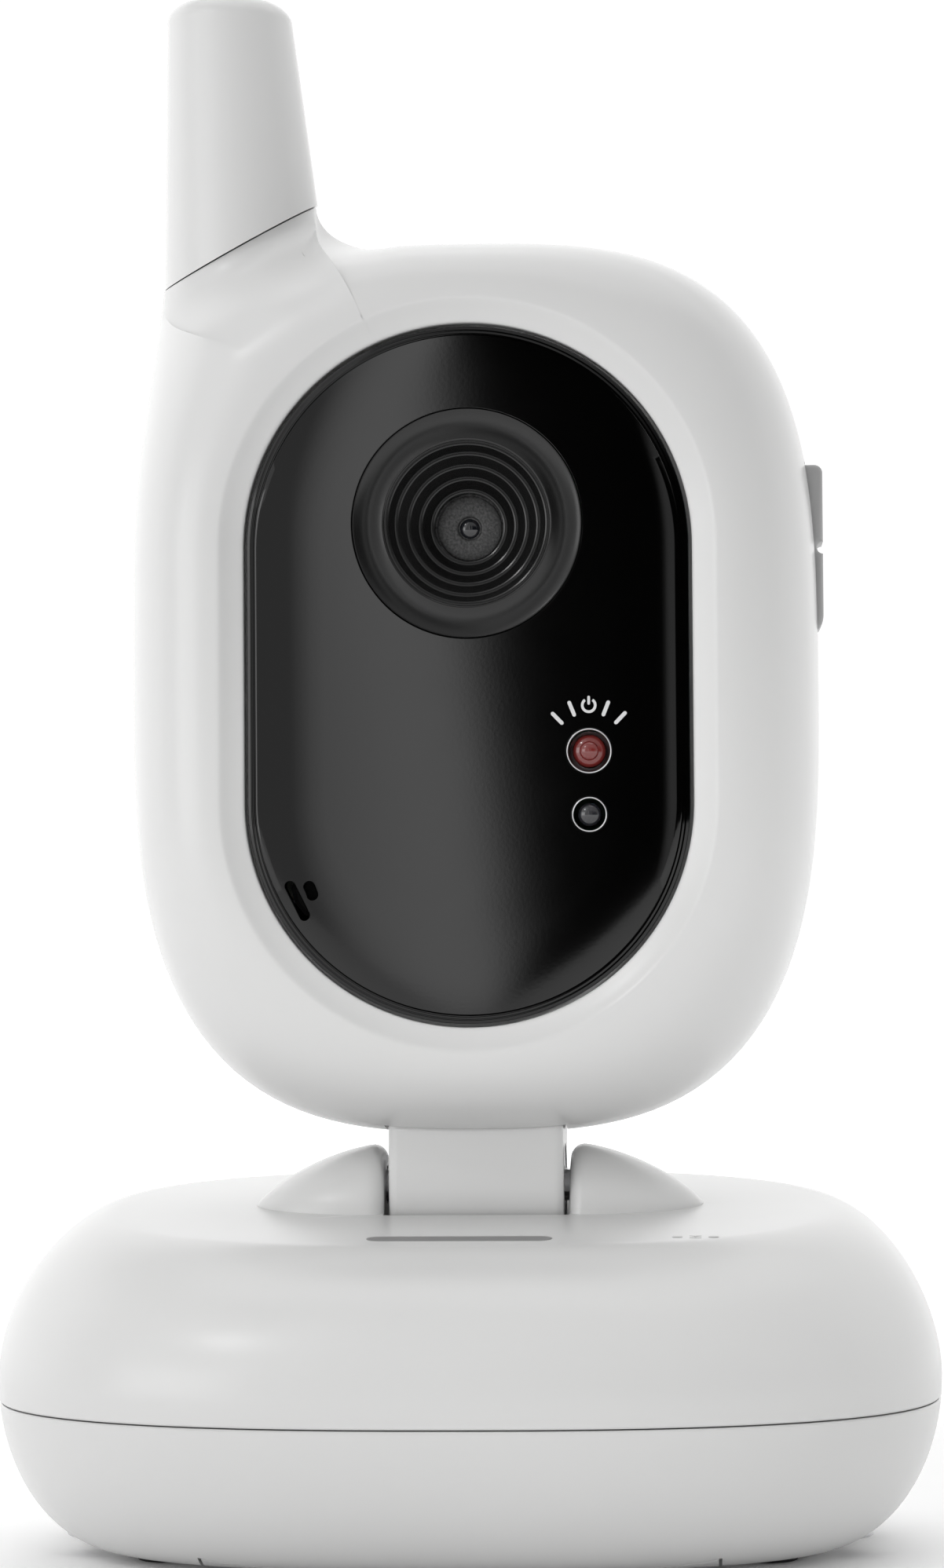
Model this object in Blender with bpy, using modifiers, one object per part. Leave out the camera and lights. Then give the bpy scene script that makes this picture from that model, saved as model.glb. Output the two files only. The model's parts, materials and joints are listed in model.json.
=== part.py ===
"""A baby monitor camera: a tilting camera head with a stub antenna on a battery base.

All sizes and places below are in millimetres; the helpers multiply them by MM, because
the scene is in metres. +Z is up, the camera looks along -Y, and the origin lies on the
floor under the middle of the base. The head's values of x are counted from its own middle,
which stands HINGE_X to the right of the base's.
"""
import math

import bmesh
import bpy
from mathutils import Matrix, Vector

MM = 0.001
GAP = 0.3                       # between pieces that touch
WALL = 2.0                      # moulded shells

# Base
BASE_HALF_WIDTH = 43.1
BASE_HALF_DEPTH = 32.5
BASE_PLAN_POWER = 2.5
BASE_WIDEST_Z = 16.1
BASE_PARTING_Z = 14.05
BASE_TOP_Z = 31.1               # on the middle of the top face
BASE_TOP_RISE = 0.098           # how steeply the top face rises towards the back
BASE_BOTTOM_Z = 0.5
BASE_TOP_INSET = (10.5, 11.0)   # how far the edge rounding reaches in, along X and Y
BASE_BOTTOM_INSET = (11.0, 12.5)
BASE_TOP_POWER = 1.8
BASE_BOTTOM_POWER = 1.98

# Hinge between base and head
HINGE_X = 0.8                   # the hinge stands a little to the right of the middle
HINGE_Y = 1.3
HINGE_Z = 33.0
KNUCKLE_RADIUS = 6.3
TROUGH_RADIUS = 6.9
NECK_HALF_WIDTH = 8.0
EAR_INNER_X = 8.5
EAR_LENGTH = 12.2
EAR_HEIGHT = 5.6
EAR_HALF_DEPTH = 6.5
PIN_RADIUS = 1.5
PIN_HALF_LENGTH = 12.9
TROUGH_BLOCK_X = 10.2           # half width of the block that the trough is cut into
CLAMP_SCREW_X = 16.5
TILT_BACK = 40.0                # degrees of travel from upright
TILT_FORWARD = 25.0

# Head
HEAD_CENTRE_Z = 78.95
HEAD_HALF_WIDTH = 31.8
HEAD_HALF_HEIGHT = 41.1
HEAD_TOP_POWER = 3.24
HEAD_BOTTOM_POWER = 2.97
HEAD_PARTING_Y = 2.0
HEAD_FRONT_Y = -14.0
HEAD_REAR_Y = 14.0
HEAD_ROUNDING = 1.9             # 1.65 is an elliptical edge, more is squarer

# Antenna
CUT_LEFT = (-29.1, 116.55)      # where the sloping joint meets the outline, as (x, z)
CUT_RIGHT = (-14.8, 124.35)
CUT_HALF_DEPTH = 7.05
JOINT_TILT = 0.165              # how far the joint rises, for each mm towards the back
ANTENNA_LEAN = math.radians(3.5)
ANTENNA_TOP = (-22.9, 144.0)
ANTENNA_TOP_RADIUS = 5.86
ANTENNA_TAPER = 0.073           # radius gained for each millimetre down

# Window and what looks through it
WINDOW_CENTRE_Z = 79.5
WINDOW_HALF_WIDTH = 19.9
WINDOW_STRAIGHT = 11.5          # half of the straight side
WINDOW_FRONT_Y = -12.9
WINDOW_THICKNESS = 2.0
RECESS_WIDTH = 2.2
REAR_FLAT_HALF_WIDTH = 15.0
LENS_Z = 93.1
BEZEL_RADIUS = 10.35
LED_X = 10.85
LED_Z = 72.5
LED_RADIUS = 1.5
SENSOR_Z = 66.8
SENSOR_RADIUS = 1.05
MIC_SLOTS = (((-16.33, 61.0), (-14.6, 57.5)), ((-14.57, 61.0), (-13.9, 59.3)))
MIC_SLOT_WIDTH = 0.9

# Volume rocker on the side of the head
ROCKER_Z = 91.6
ROCKER_HALF_LENGTH = 7.65
ROCKER_HALF_WIDTH = 3.2
ROCKER_OUTER_X = 32.25
ROCKER_INNER_X = 29.2
ROCKER_PIVOT_X = 30.0

# Boards and fastenings
BOARD_Y = 1.9
BOARD_THICKNESS = 1.2
HEAD_BOSSES = ((-21.5, 55.5), (21.5, 55.5), (-20.8, 103.0), (20.8, 103.0))
HEAD_BOSS_RADIUS = 2.6
HEAD_BOSS_END_Y = 4.2
SCREW_RADIUS = 1.1
SCREW_HEAD_RADIUS = 2.1
BASE_BOSSES = ((-34.5, -6.0), (34.5, -6.0), (-34.5, 6.0), (34.5, 6.0))
BASE_BOSS_END_Z = 7.2
BASE_BOSS_ROOF_Z = 27.9         # the bosses' upper ends, inside the top wall
BASE_SCREW_Z = 1.4              # the screws' heads, sunk below the underside
BASE_BOSS_RADIUS = 2.5
FOOT_PLACES = ((-27.0, -9.3), (27.0, -9.3), (-27.0, 9.3), (27.0, 9.3))
FOOT_RADIUS = 2.8
FOOT_HEIGHT = 1.2
CELL_RADIUS = 5.2
CELL_LENGTH = 44.5
CELL_PITCH = 11.0
CELL_Z = 10.3
CELL_Y = -1.5                   # middle of the cells
CONTACT_HALF_HEIGHT = 2.8
DOOR_HALF_WIDTH = 22.9
DOOR_ENDS = (-21.5, 27.2)
DOOR_SCREW_Y = 24.6
DOOR_BOSS_END_Z = 7.3
DOOR_BOSS_ROOF_Z = 29.6         # its upper end, inside the wall's rounded edge
JACK_X = 18.0
JACK_Z = 21.5
JACK_MOUTH_Y = 27.9             # sunk in the back wall, which leans in towards its top

BASE_SIDES = 36
HEAD_SIDES = 42                 # points round the head, apart from the antenna joint
CUT_SIDES = 8                   # points across the front half of the antenna joint
PATCH_ROWS = 5

MATERIALS = {
    "white_shell": ((0.80, 0.80, 0.80), 0.42, 0.0),
    "black_window": ((0.015, 0.015, 0.016), 0.25, 0.0),
    "black_gloss": ((0.02, 0.02, 0.02), 0.15, 0.0),
    "black_matte": ((0.05, 0.05, 0.05), 0.7, 0.0),
    "grey_button": ((0.42, 0.42, 0.43), 0.45, 0.0),
    "red_lens": ((0.35, 0.05, 0.04), 0.15, 0.0),
    "dark_lens": ((0.03, 0.03, 0.035), 0.12, 0.0),
    "optical_glass": ((0.10, 0.12, 0.16), 0.05, 0.0),
    "green_board": ((0.05, 0.22, 0.10), 0.5, 0.0),
    "steel": ((0.60, 0.60, 0.60), 0.35, 1.0),
    "brass": ((0.72, 0.55, 0.28), 0.3, 1.0),
    "cell_sleeve": ((0.18, 0.30, 0.45), 0.35, 0.0),
    "black_rubber": ((0.03, 0.03, 0.03), 0.85, 0.0),
}


def clear_scene():
    """Remove whatever the scene holds."""
    for obj in list(bpy.data.objects):
        bpy.data.objects.remove(obj)


def make_collection(name):
    """Make a collection in the scene."""
    collection = bpy.data.collections.new(name)
    bpy.context.scene.collection.children.link(collection)
    return collection


clear_scene()
PARTS = make_collection("baby_monitor_camera")
CUTTERS = make_collection("cutters")


def principled(part_name, finish):
    """A material of the part's own, from one of the named finishes."""
    colour, roughness, metallic = MATERIALS[finish]
    material = bpy.data.materials.new(part_name + "_" + finish)
    material.use_nodes = True
    shader = material.node_tree.nodes["Principled BSDF"]
    shader.inputs["Base Color"].default_value = (*colour, 1.0)
    shader.inputs["Roughness"].default_value = roughness
    shader.inputs["Metallic"].default_value = metallic
    material.diffuse_color = (*colour, 1.0)
    return material


def add_part(name, mesh, finish, parent=None):
    """Link a mesh as one named part, parented to the empty on its joint if it moves."""
    obj = bpy.data.objects.new(name, mesh)
    PARTS.objects.link(obj)
    mesh.materials.append(principled(name, finish))
    mesh.shade_smooth()
    mesh.set_sharp_from_angle(angle=math.radians(35))
    if parent:
        obj.parent = parent
        obj.matrix_parent_inverse = parent.matrix_world.inverted()
    return obj


def add_cutter(name, mesh):
    """Link a mesh as a shape that only cuts or joins others."""
    obj = bpy.data.objects.new(name, mesh)
    CUTTERS.objects.link(obj)
    obj.hide_render = True
    obj.display_type = "WIRE"
    return obj


def boolean(part, other, operation):
    """Cut, join or intersect a part with another shape."""
    modifier = part.modifiers.new(operation.lower() + "_" + other.name, "BOOLEAN")
    modifier.operation = operation
    modifier.object = other


def cut(part, name, mesh):
    """Cut a shape out of a part."""
    boolean(part, add_cutter(name, mesh), "DIFFERENCE")


def fuse(part, name, mesh):
    """Join a shape to a part."""
    boolean(part, add_cutter(name, mesh), "UNION")


def mesh_from_bmesh(name, shape):
    """Turn a bmesh in millimetres into a mesh in metres."""
    bmesh.ops.scale(shape, vec=(MM, MM, MM), verts=shape.verts)
    mesh = bpy.data.meshes.new(name)
    shape.to_mesh(mesh)
    shape.free()
    return mesh


def box(name, low, high, bevel=0.0):
    """A box between two corners, with its edges rounded by bevel."""
    shape = bmesh.new()
    bmesh.ops.create_cube(shape, size=1.0)
    size = [b - a for a, b in zip(low, high)]
    middle = [(a + b) / 2 for a, b in zip(low, high)]
    bmesh.ops.scale(shape, vec=size, verts=shape.verts)
    bmesh.ops.translate(shape, vec=middle, verts=shape.verts)
    if bevel:
        bmesh.ops.bevel(shape, geom=shape.edges[:], offset=bevel, segments=2, profile=0.5,
                        affect="EDGES")
    return mesh_from_bmesh(name, shape)


def axis_matrix(axis, origin):
    """The placement that turns +Z to the named axis and moves it to origin."""
    turns = {
        "+Z": Matrix.Identity(4),
        "-Z": Matrix.Rotation(math.pi, 4, "X"),
        "+X": Matrix.Rotation(math.pi / 2, 4, "Y"),
        "-X": Matrix.Rotation(-math.pi / 2, 4, "Y"),
        "+Y": Matrix.Rotation(-math.pi / 2, 4, "X"),
        "-Y": Matrix.Rotation(math.pi / 2, 4, "X"),
    }
    return Matrix.Translation(origin) @ turns[axis]


def cylinder(name, radius, length, origin, axis="+Z", sides=16):
    """A cylinder that starts at origin and runs along the axis."""
    shape = bmesh.new()
    bmesh.ops.create_cone(shape, cap_ends=True, segments=sides, radius1=radius, radius2=radius,
                          depth=length)
    bmesh.ops.translate(shape, vec=(0.0, 0.0, length / 2), verts=shape.verts)
    shape.transform(axis_matrix(axis, origin))
    return mesh_from_bmesh(name, shape)


def turned(name, profile, origin, axis="+Z", sides=16):
    """A turned solid: the profile (radius, height) runs down its outer side, top to bottom."""
    mesh = bpy.data.meshes.new(name)
    points = [(radius * MM, 0.0, height * MM) for radius, height in profile]
    edges = [(i, i + 1) for i in range(len(points) - 1)]
    if profile[0][0] > 0:
        edges.append((len(points) - 1, 0))
    mesh.from_pydata(points, edges, [])
    obj = bpy.data.objects.new(name + "_profile", mesh)
    CUTTERS.objects.link(obj)
    screw = obj.modifiers.new("turn", "SCREW")
    screw.steps = sides
    screw.render_steps = sides
    screw.use_merge_vertices = True
    screw.merge_threshold = 0.000001
    bpy.context.view_layer.update()
    solid = bpy.data.meshes.new_from_object(obj.evaluated_get(bpy.context.evaluated_depsgraph_get()))
    bpy.data.objects.remove(obj)
    place = axis_matrix(axis, [value * MM for value in origin])
    solid.transform(place)
    solid.name = name
    return solid


def loft(name, rings, looped=False):
    """Join rings of points, each the same length, with quads.

    The two end rings are filled, unless the rings are looped: then the last joins the first.
    """
    shape = bmesh.new()
    rows = [[shape.verts.new(point) for point in ring] for ring in rings]
    count = len(rows[0])
    following = rows[1:] + rows[:1] if looped else rows[1:]
    for lower, upper in zip(rows, following):
        for i in range(count):
            j = (i + 1) % count
            shape.faces.new((lower[i], lower[j], upper[j], upper[i]))
    if not looped:
        shape.faces.new(list(reversed(rows[0])))
        shape.faces.new(rows[-1])
    bmesh.ops.recalc_face_normals(shape, faces=shape.faces)
    return mesh_from_bmesh(name, shape)


def superellipse(half_x, half_y, power, angle):
    """The point of a superellipse that lies in a direction from its middle."""
    reach_x = (abs(math.cos(angle)) / half_x) ** power
    reach_y = (abs(math.sin(angle)) / half_y) ** power
    radius = (reach_x + reach_y) ** (-1 / power)
    return radius * math.cos(angle), radius * math.sin(angle)


# ---------------------------------------------------------------- base

def base_ring(turn, upward, inset):
    """One ring of the base: turn runs from 0 at its widest to 90 degrees at the flat."""
    power = BASE_TOP_POWER if upward else BASE_BOTTOM_POWER
    reach = BASE_TOP_INSET if upward else BASE_BOTTOM_INSET
    height = BASE_TOP_Z - BASE_WIDEST_Z if upward else BASE_WIDEST_Z - BASE_BOTTOM_Z
    rise = math.sin(turn) ** (2 / power)
    narrowing = 1 - math.cos(turn) ** (2 / power)
    level = BASE_WIDEST_Z + (1 if upward else -1) * (height - inset) * rise
    half_width = BASE_HALF_WIDTH - inset - (reach[0] - inset) * narrowing
    half_depth = BASE_HALF_DEPTH - inset - (reach[1] - inset) * narrowing
    slope = BASE_TOP_RISE * rise ** 2 if upward else 0.0
    ring = []
    for i in range(BASE_SIDES):
        angle = 2 * math.pi * i / BASE_SIDES
        x, y = superellipse(half_width, half_depth, BASE_PLAN_POWER, angle)
        ring.append((x, y, level + slope * y))
    return ring


def base_ring_at(level, inset):
    """The ring at a level a little below the widest one."""
    height = BASE_WIDEST_Z - BASE_BOTTOM_Z - inset
    rise = (BASE_WIDEST_Z - level) / height
    return base_ring(math.asin(rise ** (BASE_BOTTOM_POWER / 2)), False, inset)


def base_top_level(y):
    """Height of the base's top face."""
    return BASE_TOP_Z + BASE_TOP_RISE * y


def ear_mesh(name, side):
    """A fin that carries the hinge pin and sinks away sideways into the top face."""
    stations = (0.0, 0.06, 0.2, 0.4, 0.6, 0.78, 0.92, 0.99)
    arc_steps = 8
    rings = []
    for station in stations:
        fade = (1 - station ** 1.6) ** 0.8
        half_depth = EAR_HALF_DEPTH * (1 - station ** 2) ** 0.5
        edge = 0.93 if station == 0.0 else 1.0
        ring = []
        for step in range(arc_steps + 1):
            angle = math.pi * step / arc_steps
            y = HINGE_Y + edge * half_depth * math.cos(angle)
            z = base_top_level(y) + edge * EAR_HEIGHT * fade * math.sin(angle)
            ring.append((HINGE_X + side * (EAR_INNER_X + EAR_LENGTH * station), y, z))
        root = BASE_TOP_Z - WALL * 0.7
        ring.append((ring[-1][0], ring[-1][1], root))
        ring.append((ring[0][0], ring[0][1], root))
        rings.append(ring)
    return loft(name, rings)


def trough_outline(radius):
    """Side view of the room that the neck sweeps: an arc below, flared sides above."""
    back = math.radians(TILT_BACK)
    front = math.radians(TILT_FORWARD)
    steps = 12
    points = []
    for step in range(steps + 1):
        angle = -back - (math.pi - back - front) * step / steps
        points.append((HINGE_Y + radius * math.cos(angle), HINGE_Z + radius * math.sin(angle)))
    reach = 12.0
    first = points[0]
    last = points[-1]
    points.append((last[0] - reach * math.sin(front), last[1] + reach * math.cos(front)))
    points.append((first[0] + reach * math.sin(back), first[1] + reach * math.cos(back)))
    return points


def side_profile_plate(name, outline, low_x, high_x):
    """A plate whose (y, z) outline is seen from the side, between two values of x."""
    rings = [[(x, y, z) for y, z in outline] for x in (low_x, high_x)]
    return loft(name, rings)


def make_base_upper_shell():
    """Upper casing with the hinge ears, the neck's trough and the screw bosses."""
    turns = [math.radians(a) for a in (0, 22, 42, 58, 70, 80, 90)]
    low = BASE_PARTING_Z + GAP / 2
    inner = [base_ring_at(low, WALL)] + [base_ring(t, True, WALL) for t in turns[::2]]
    outer = [base_ring_at(low, 0.0)] + [base_ring(t, True, 0.0) for t in turns]
    shell = add_part("base_upper_shell", loft("base_upper_shell", inner[::-1] + outer),
                     "white_shell")
    bosses = [(x, y, BASE_BOSS_END_Z, BASE_BOSS_ROOF_Z) for x, y in BASE_BOSSES]
    bosses.append((0.0, DOOR_SCREW_Y, DOOR_BOSS_END_Z, DOOR_BOSS_ROOF_Z))
    for i, (x, y, low_end, high_end) in enumerate(bosses):
        fuse(shell, f"base_boss_{i + 1}",
             cylinder("boss", BASE_BOSS_RADIUS, high_end - low_end, (x, y, low_end), sides=12))
    fuse(shell, "trough_block", box("trough_block", (HINGE_X - TROUGH_BLOCK_X, HINGE_Y - 9.0, 24.4),
                                    (HINGE_X + TROUGH_BLOCK_X, HINGE_Y + 9.6, BASE_TOP_Z - 1.2)))
    for side in (-1, 1):
        fuse(shell, "ear_left" if side < 0 else "ear_right", ear_mesh("ear", side))
    cut(shell, "trough", side_profile_plate("trough", trough_outline(TROUGH_RADIUS),
                                            HINGE_X - EAR_INNER_X, HINGE_X + EAR_INNER_X))
    for side in (-1, 1):
        label = "left" if side < 0 else "right"
        ends = sorted((HINGE_X + side * (EAR_INNER_X - 1.0),
                       HINGE_X + side * (PIN_HALF_LENGTH + GAP)))
        slot = PIN_RADIUS + GAP
        cut(shell, "pin_slot_" + label, box("pin_slot", (ends[0], HINGE_Y - slot, 20.0),
                                            (ends[1], HINGE_Y + slot, HINGE_Z)))
        cut(shell, "pin_seat_" + label, cylinder("pin_seat", slot, ends[1] - ends[0],
                                                 (ends[0], HINGE_Y, HINGE_Z), "+X", 16))
        cut(shell, "clamp_hole_" + label, cylinder(
            "clamp_hole", SCREW_RADIUS + GAP, 10.0, (HINGE_X + side * CLAMP_SCREW_X, HINGE_Y, 23.0),
            sides=10))
    for i, (x, y, low_end, _) in enumerate(bosses):
        cut(shell, f"base_boss_hole_{i + 1}",
            cylinder("boss_hole", SCREW_RADIUS + GAP, 10.0, (x, y, low_end - 1.0), sides=10))
    cut(shell, "jack_hole", cylinder("jack_hole", 4.3, 12.0, (JACK_X, 25.0, JACK_Z), "+Y", 20))
    return shell


def lower_shell_mesh(name):
    """The closed tray before its openings are cut."""
    turns = [math.radians(a) for a in (30, 48, 64, 78, 90)]
    high = BASE_PARTING_Z - GAP / 2
    outer = [base_ring_at(high, 0.0)] + [base_ring(t, False, 0.0) for t in turns]
    inner = [base_ring_at(high, WALL)] + [base_ring(t, False, WALL) for t in turns[::2]]
    return loft(name, inner[::-1] + outer)


def make_base_lower_shell():
    """Lower tray with the battery opening, the feet's pockets and the screw holes."""
    shell = add_part("base_lower_shell", lower_shell_mesh("base_lower_shell"), "white_shell")
    cut(shell, "door_opening", box("door_opening", (-DOOR_HALF_WIDTH, DOOR_ENDS[0], -5.0),
                                   (DOOR_HALF_WIDTH, DOOR_ENDS[1], 6.0)))
    for i, (x, y) in enumerate(FOOT_PLACES):
        pocket = BASE_BOTTOM_Z + 0.9
        cut(shell, f"foot_pocket_{i + 1}",
            cylinder("pocket", FOOT_RADIUS + GAP, pocket + 1.0, (x, y, -1.0), sides=16))
    for i, (x, y) in enumerate(BASE_BOSSES):
        cut(shell, f"base_screw_hole_{i + 1}",
            cylinder("hole", SCREW_RADIUS + GAP, 8.0, (x, y, -1.0), sides=10))
        cut(shell, f"base_screw_counterbore_{i + 1}",
            cylinder("counterbore", SCREW_HEAD_RADIUS + GAP, BASE_SCREW_Z + 2.3, (x, y, -1.0),
                     sides=12))
    return shell


def make_battery_door():
    """The cover that closes the battery opening and follows the tray's underside."""
    door = add_part("battery_door", lower_shell_mesh("battery_door"), "white_shell")
    boolean(door, add_cutter("door_blank", box(
        "door_blank", (-DOOR_HALF_WIDTH + GAP, DOOR_ENDS[0] + GAP, -5.0),
        (DOOR_HALF_WIDTH - GAP, DOOR_ENDS[1] - GAP, 6.0))), "INTERSECT")
    cut(door, "door_screw_hole", cylinder("door_hole", SCREW_RADIUS + GAP, 9.0,
                                          (0.0, DOOR_SCREW_Y, -1.0), sides=10))
    cut(door, "door_screw_counterbore", cylinder("door_counterbore", SCREW_HEAD_RADIUS + GAP, 3.4,
                                                 (0.0, DOOR_SCREW_Y, -1.0), sides=12))
    return door


def screw_profile(length):
    """A pan head at the top and a plain shank that runs down to a blunt point."""
    return [(0.0, 0.0), (SCREW_HEAD_RADIUS * 0.8, 0.0), (SCREW_HEAD_RADIUS, -0.4),
            (SCREW_HEAD_RADIUS, -1.0), (SCREW_RADIUS, -1.0), (SCREW_RADIUS, -length + 0.8),
            (0.0, -length)]


def make_screw(name, length, origin, axis, parent=None):
    """One screw with its head at origin; the axis points out of the head."""
    mesh = turned(name, screw_profile(length), origin, axis, sides=10)
    return add_part(name, mesh, "steel", parent)


def make_cells():
    """Four AAA cells side by side, alternately turned, with leaf contacts at their ends."""
    for i in range(4):
        x = CELL_PITCH * (i - 1.5)
        facing = 1 if i % 2 == 0 else -1
        half = CELL_LENGTH / 2
        profile = [(0.0, half), (1.8, half), (1.8, half - 0.9), (CELL_RADIUS - 0.4, half - 1.0),
                   (CELL_RADIUS, half - 1.5), (CELL_RADIUS, -half + 0.4),
                   (CELL_RADIUS - 0.5, -half), (0.0, -half)]
        mesh = turned("cell", profile, (x, CELL_Y, CELL_Z), "+Y" if facing > 0 else "-Y", 16)
        add_part(f"battery_cell_{i + 1}", mesh, "cell_sleeve")
    contact_y = CELL_LENGTH / 2 + GAP
    spans = {
        "battery_contact_front_left": (-1, -21.0, -1.0),
        "battery_contact_front_right": (-1, 1.0, 21.0),
        "battery_contact_rear_left": (1, -20.5, -12.5),
        "battery_contact_rear_middle": (1, -10.0, 10.0),
        "battery_contact_rear_right": (1, 12.5, 20.5),
    }
    for name, (side, low_x, high_x) in spans.items():
        ends = sorted((CELL_Y + side * contact_y, CELL_Y + side * (contact_y + 0.6)))
        mesh = box(name, (low_x, ends[0], CELL_Z - CONTACT_HALF_HEIGHT),
                   (high_x, ends[1], CELL_Z + CONTACT_HALF_HEIGHT))
        add_part(name, mesh, "steel")


def make_battery_bay():
    """Roof over the cells with side walls and ribs that reach down between them."""
    half = 2 * CELL_PITCH + 1.3
    wall = 1.0
    rib = 0.4
    roof = CELL_Z + CELL_RADIUS + GAP
    foot = CELL_Z - 2.4
    tip = CELL_Z + 2.4
    outline = [(-half, roof + wall), (-half, foot), (wall - half, foot), (wall - half, roof)]
    for x in (-CELL_PITCH, 0.0, CELL_PITCH):
        outline += [(x - rib, roof), (x - rib, tip), (x + rib, tip), (x + rib, roof)]
    outline += [(half - wall, roof), (half - wall, foot), (half, foot), (half, roof + wall)]
    rings = [[(x, y, z) for x, z in outline] for y in (CELL_Y - 22.0, CELL_Y + 22.0)]
    return add_part("battery_bay", loft("battery_bay", rings), "white_shell")


def make_power_board():
    """The base's circuit board."""
    return add_part("power_board", box("power_board", (-28.0, -15.0, 17.6), (15.0, 12.0, 18.8)),
                    "green_board")


def make_dc_jack():
    """The power inlet in the back of the base: a block, a round mouth and a centre pin."""
    jack = add_part("dc_jack", box("dc_jack", (JACK_X - 4.6, 14.0, JACK_Z - 4.4),
                                   (JACK_X + 4.6, 24.0, JACK_Z + 4.4)), "black_matte")
    fuse(jack, "jack_mouth", cylinder("mouth", 3.9, JACK_MOUTH_Y - 22.8,
                                   (JACK_X, 22.8, JACK_Z), "+Y", 20))
    cut(jack, "jack_bore", turned("jack_bore", [(2.9, 0.0), (2.9, -10.0), (1.0, -10.0), (1.0, 0.0)],
                                  (JACK_X, 31.5, JACK_Z), "+Y", 16))
    return jack


def make_feet():
    """Four rubber feet, each half sunk in a pocket."""
    for i, (x, y) in enumerate(FOOT_PLACES):
        profile = [(0.0, FOOT_HEIGHT), (FOOT_RADIUS, FOOT_HEIGHT), (FOOT_RADIUS, 0.3),
                   (FOOT_RADIUS - 0.3, 0.0), (0.0, 0.0)]
        mesh = turned("foot", profile, (x, y, 0.0), "+Z", 16)
        add_part(f"rubber_foot_{i + 1}", mesh, "black_rubber")


def make_hinge_clamps():
    """Two blocks that close the pin's slots from inside the base, each with a screw."""
    post = PIN_RADIUS - 0.15
    post_start = TROUGH_BLOCK_X + 2 * GAP + 0.2
    for side in (-1, 1):
        label = "left" if side < 0 else "right"
        plate = sorted(HINGE_X + side * x for x in (TROUGH_BLOCK_X + 2 * GAP, 20.0))
        posts = sorted(HINGE_X + side * x for x in (post_start, PIN_HALF_LENGTH - 0.3))
        clamp = add_part("hinge_clamp_" + label,
                         box("clamp", (plate[0], HINGE_Y - 4.0, 26.4),
                             (plate[1], HINGE_Y + 4.0, 28.0)), "steel")
        fuse(clamp, "clamp_post_" + label,
             box("post", (posts[0], HINGE_Y - post, 27.2),
                 (posts[1], HINGE_Y + post, HINGE_Z - PIN_RADIUS - GAP)))
        screw_x = HINGE_X + side * CLAMP_SCREW_X
        cut(clamp, "clamp_screw_hole_" + label,
            cylinder("hole", SCREW_RADIUS + GAP, 6.0, (screw_x, HINGE_Y, 24.0), sides=10))
        make_screw("hinge_screw_" + label, 7.2, (screw_x, HINGE_Y, 25.1), "-Z")


def make_base():
    """All that stands still."""
    make_base_upper_shell()
    make_base_lower_shell()
    make_battery_door()
    make_screw("battery_door_screw", 11.0, (0.0, DOOR_SCREW_Y, 1.1), "-Z")
    make_cells()
    make_battery_bay()
    make_power_board()
    make_dc_jack()
    make_feet()
    for i, (x, y) in enumerate(BASE_BOSSES):
        make_screw(f"base_screw_{i + 1}", 11.0, (x, y, BASE_SCREW_Z), "-Z")
    make_hinge_clamps()
    pin = cylinder("pin", PIN_RADIUS, 2 * PIN_HALF_LENGTH,
                   (HINGE_X - PIN_HALF_LENGTH, HINGE_Y, HINGE_Z), "+X", 16)
    add_part("hinge_pin", pin, "steel")


# ---------------------------------------------------------------- head

def bezier(start, start_handle, end_handle, end, fraction):
    """A point on a cubic curve through the plane."""
    rest = 1 - fraction
    weights = (rest ** 3, 3 * rest ** 2 * fraction, 3 * rest * fraction ** 2, fraction ** 3)
    handles = (start, start_handle, end_handle, end)
    return tuple(sum(w * p[k] for w, p in zip(weights, handles)) for k in range(2))


def head_point(angle):
    """The head's outline, seen from the front, apart from its antenna corner."""
    power = HEAD_TOP_POWER if math.sin(angle) > 0 else HEAD_BOTTOM_POWER
    x, z = superellipse(HEAD_HALF_WIDTH, HEAD_HALF_HEIGHT, power, angle)
    return x, HEAD_CENTRE_Z + z


def head_outline(inset):
    """Points (x, z) clockwise from the right end of the antenna joint to its left end."""
    fillet_end = math.radians(99)
    left_start = math.radians(165)
    points = [bezier(CUT_RIGHT, (-14.4, 121.4), (-11.5, 120.05), head_point(fillet_end), k / 5)
              for k in range(5)]
    sweep = fillet_end + 2 * math.pi - left_start
    rounds = HEAD_SIDES - 10
    for k in range(rounds + 1):
        points.append(head_point(fillet_end - sweep * k / rounds))
    start = head_point(left_start)
    for k in range(1, 6):
        points.append(bezier(start, (start[0] - 0.2, 100.0), (-30.2, 107.6), CUT_LEFT, k / 5))
    across = (Vector(CUT_RIGHT) - Vector(CUT_LEFT)).normalized()
    moved = [Vector(CUT_RIGHT) - across * inset]
    for before, point, after in zip(points, points[1:], points[2:]):
        along = (Vector(after) - Vector(before)).normalized()
        moved.append(Vector(point) + Vector((along.y, -along.x)) * inset)
    moved.append(Vector(CUT_LEFT) + across * inset)
    return moved


def stadium_nearest(point, half_width):
    """The nearest point (x, z) of a round-ended slot's outline, and the way out of it there."""
    x, z = point
    core = min(max(z, WINDOW_CENTRE_Z - WINDOW_STRAIGHT), WINDOW_CENTRE_Z + WINDOW_STRAIGHT)
    out = Vector((x, z - core)).normalized()
    return Vector((0.0, core)) + out * half_width, out


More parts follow.
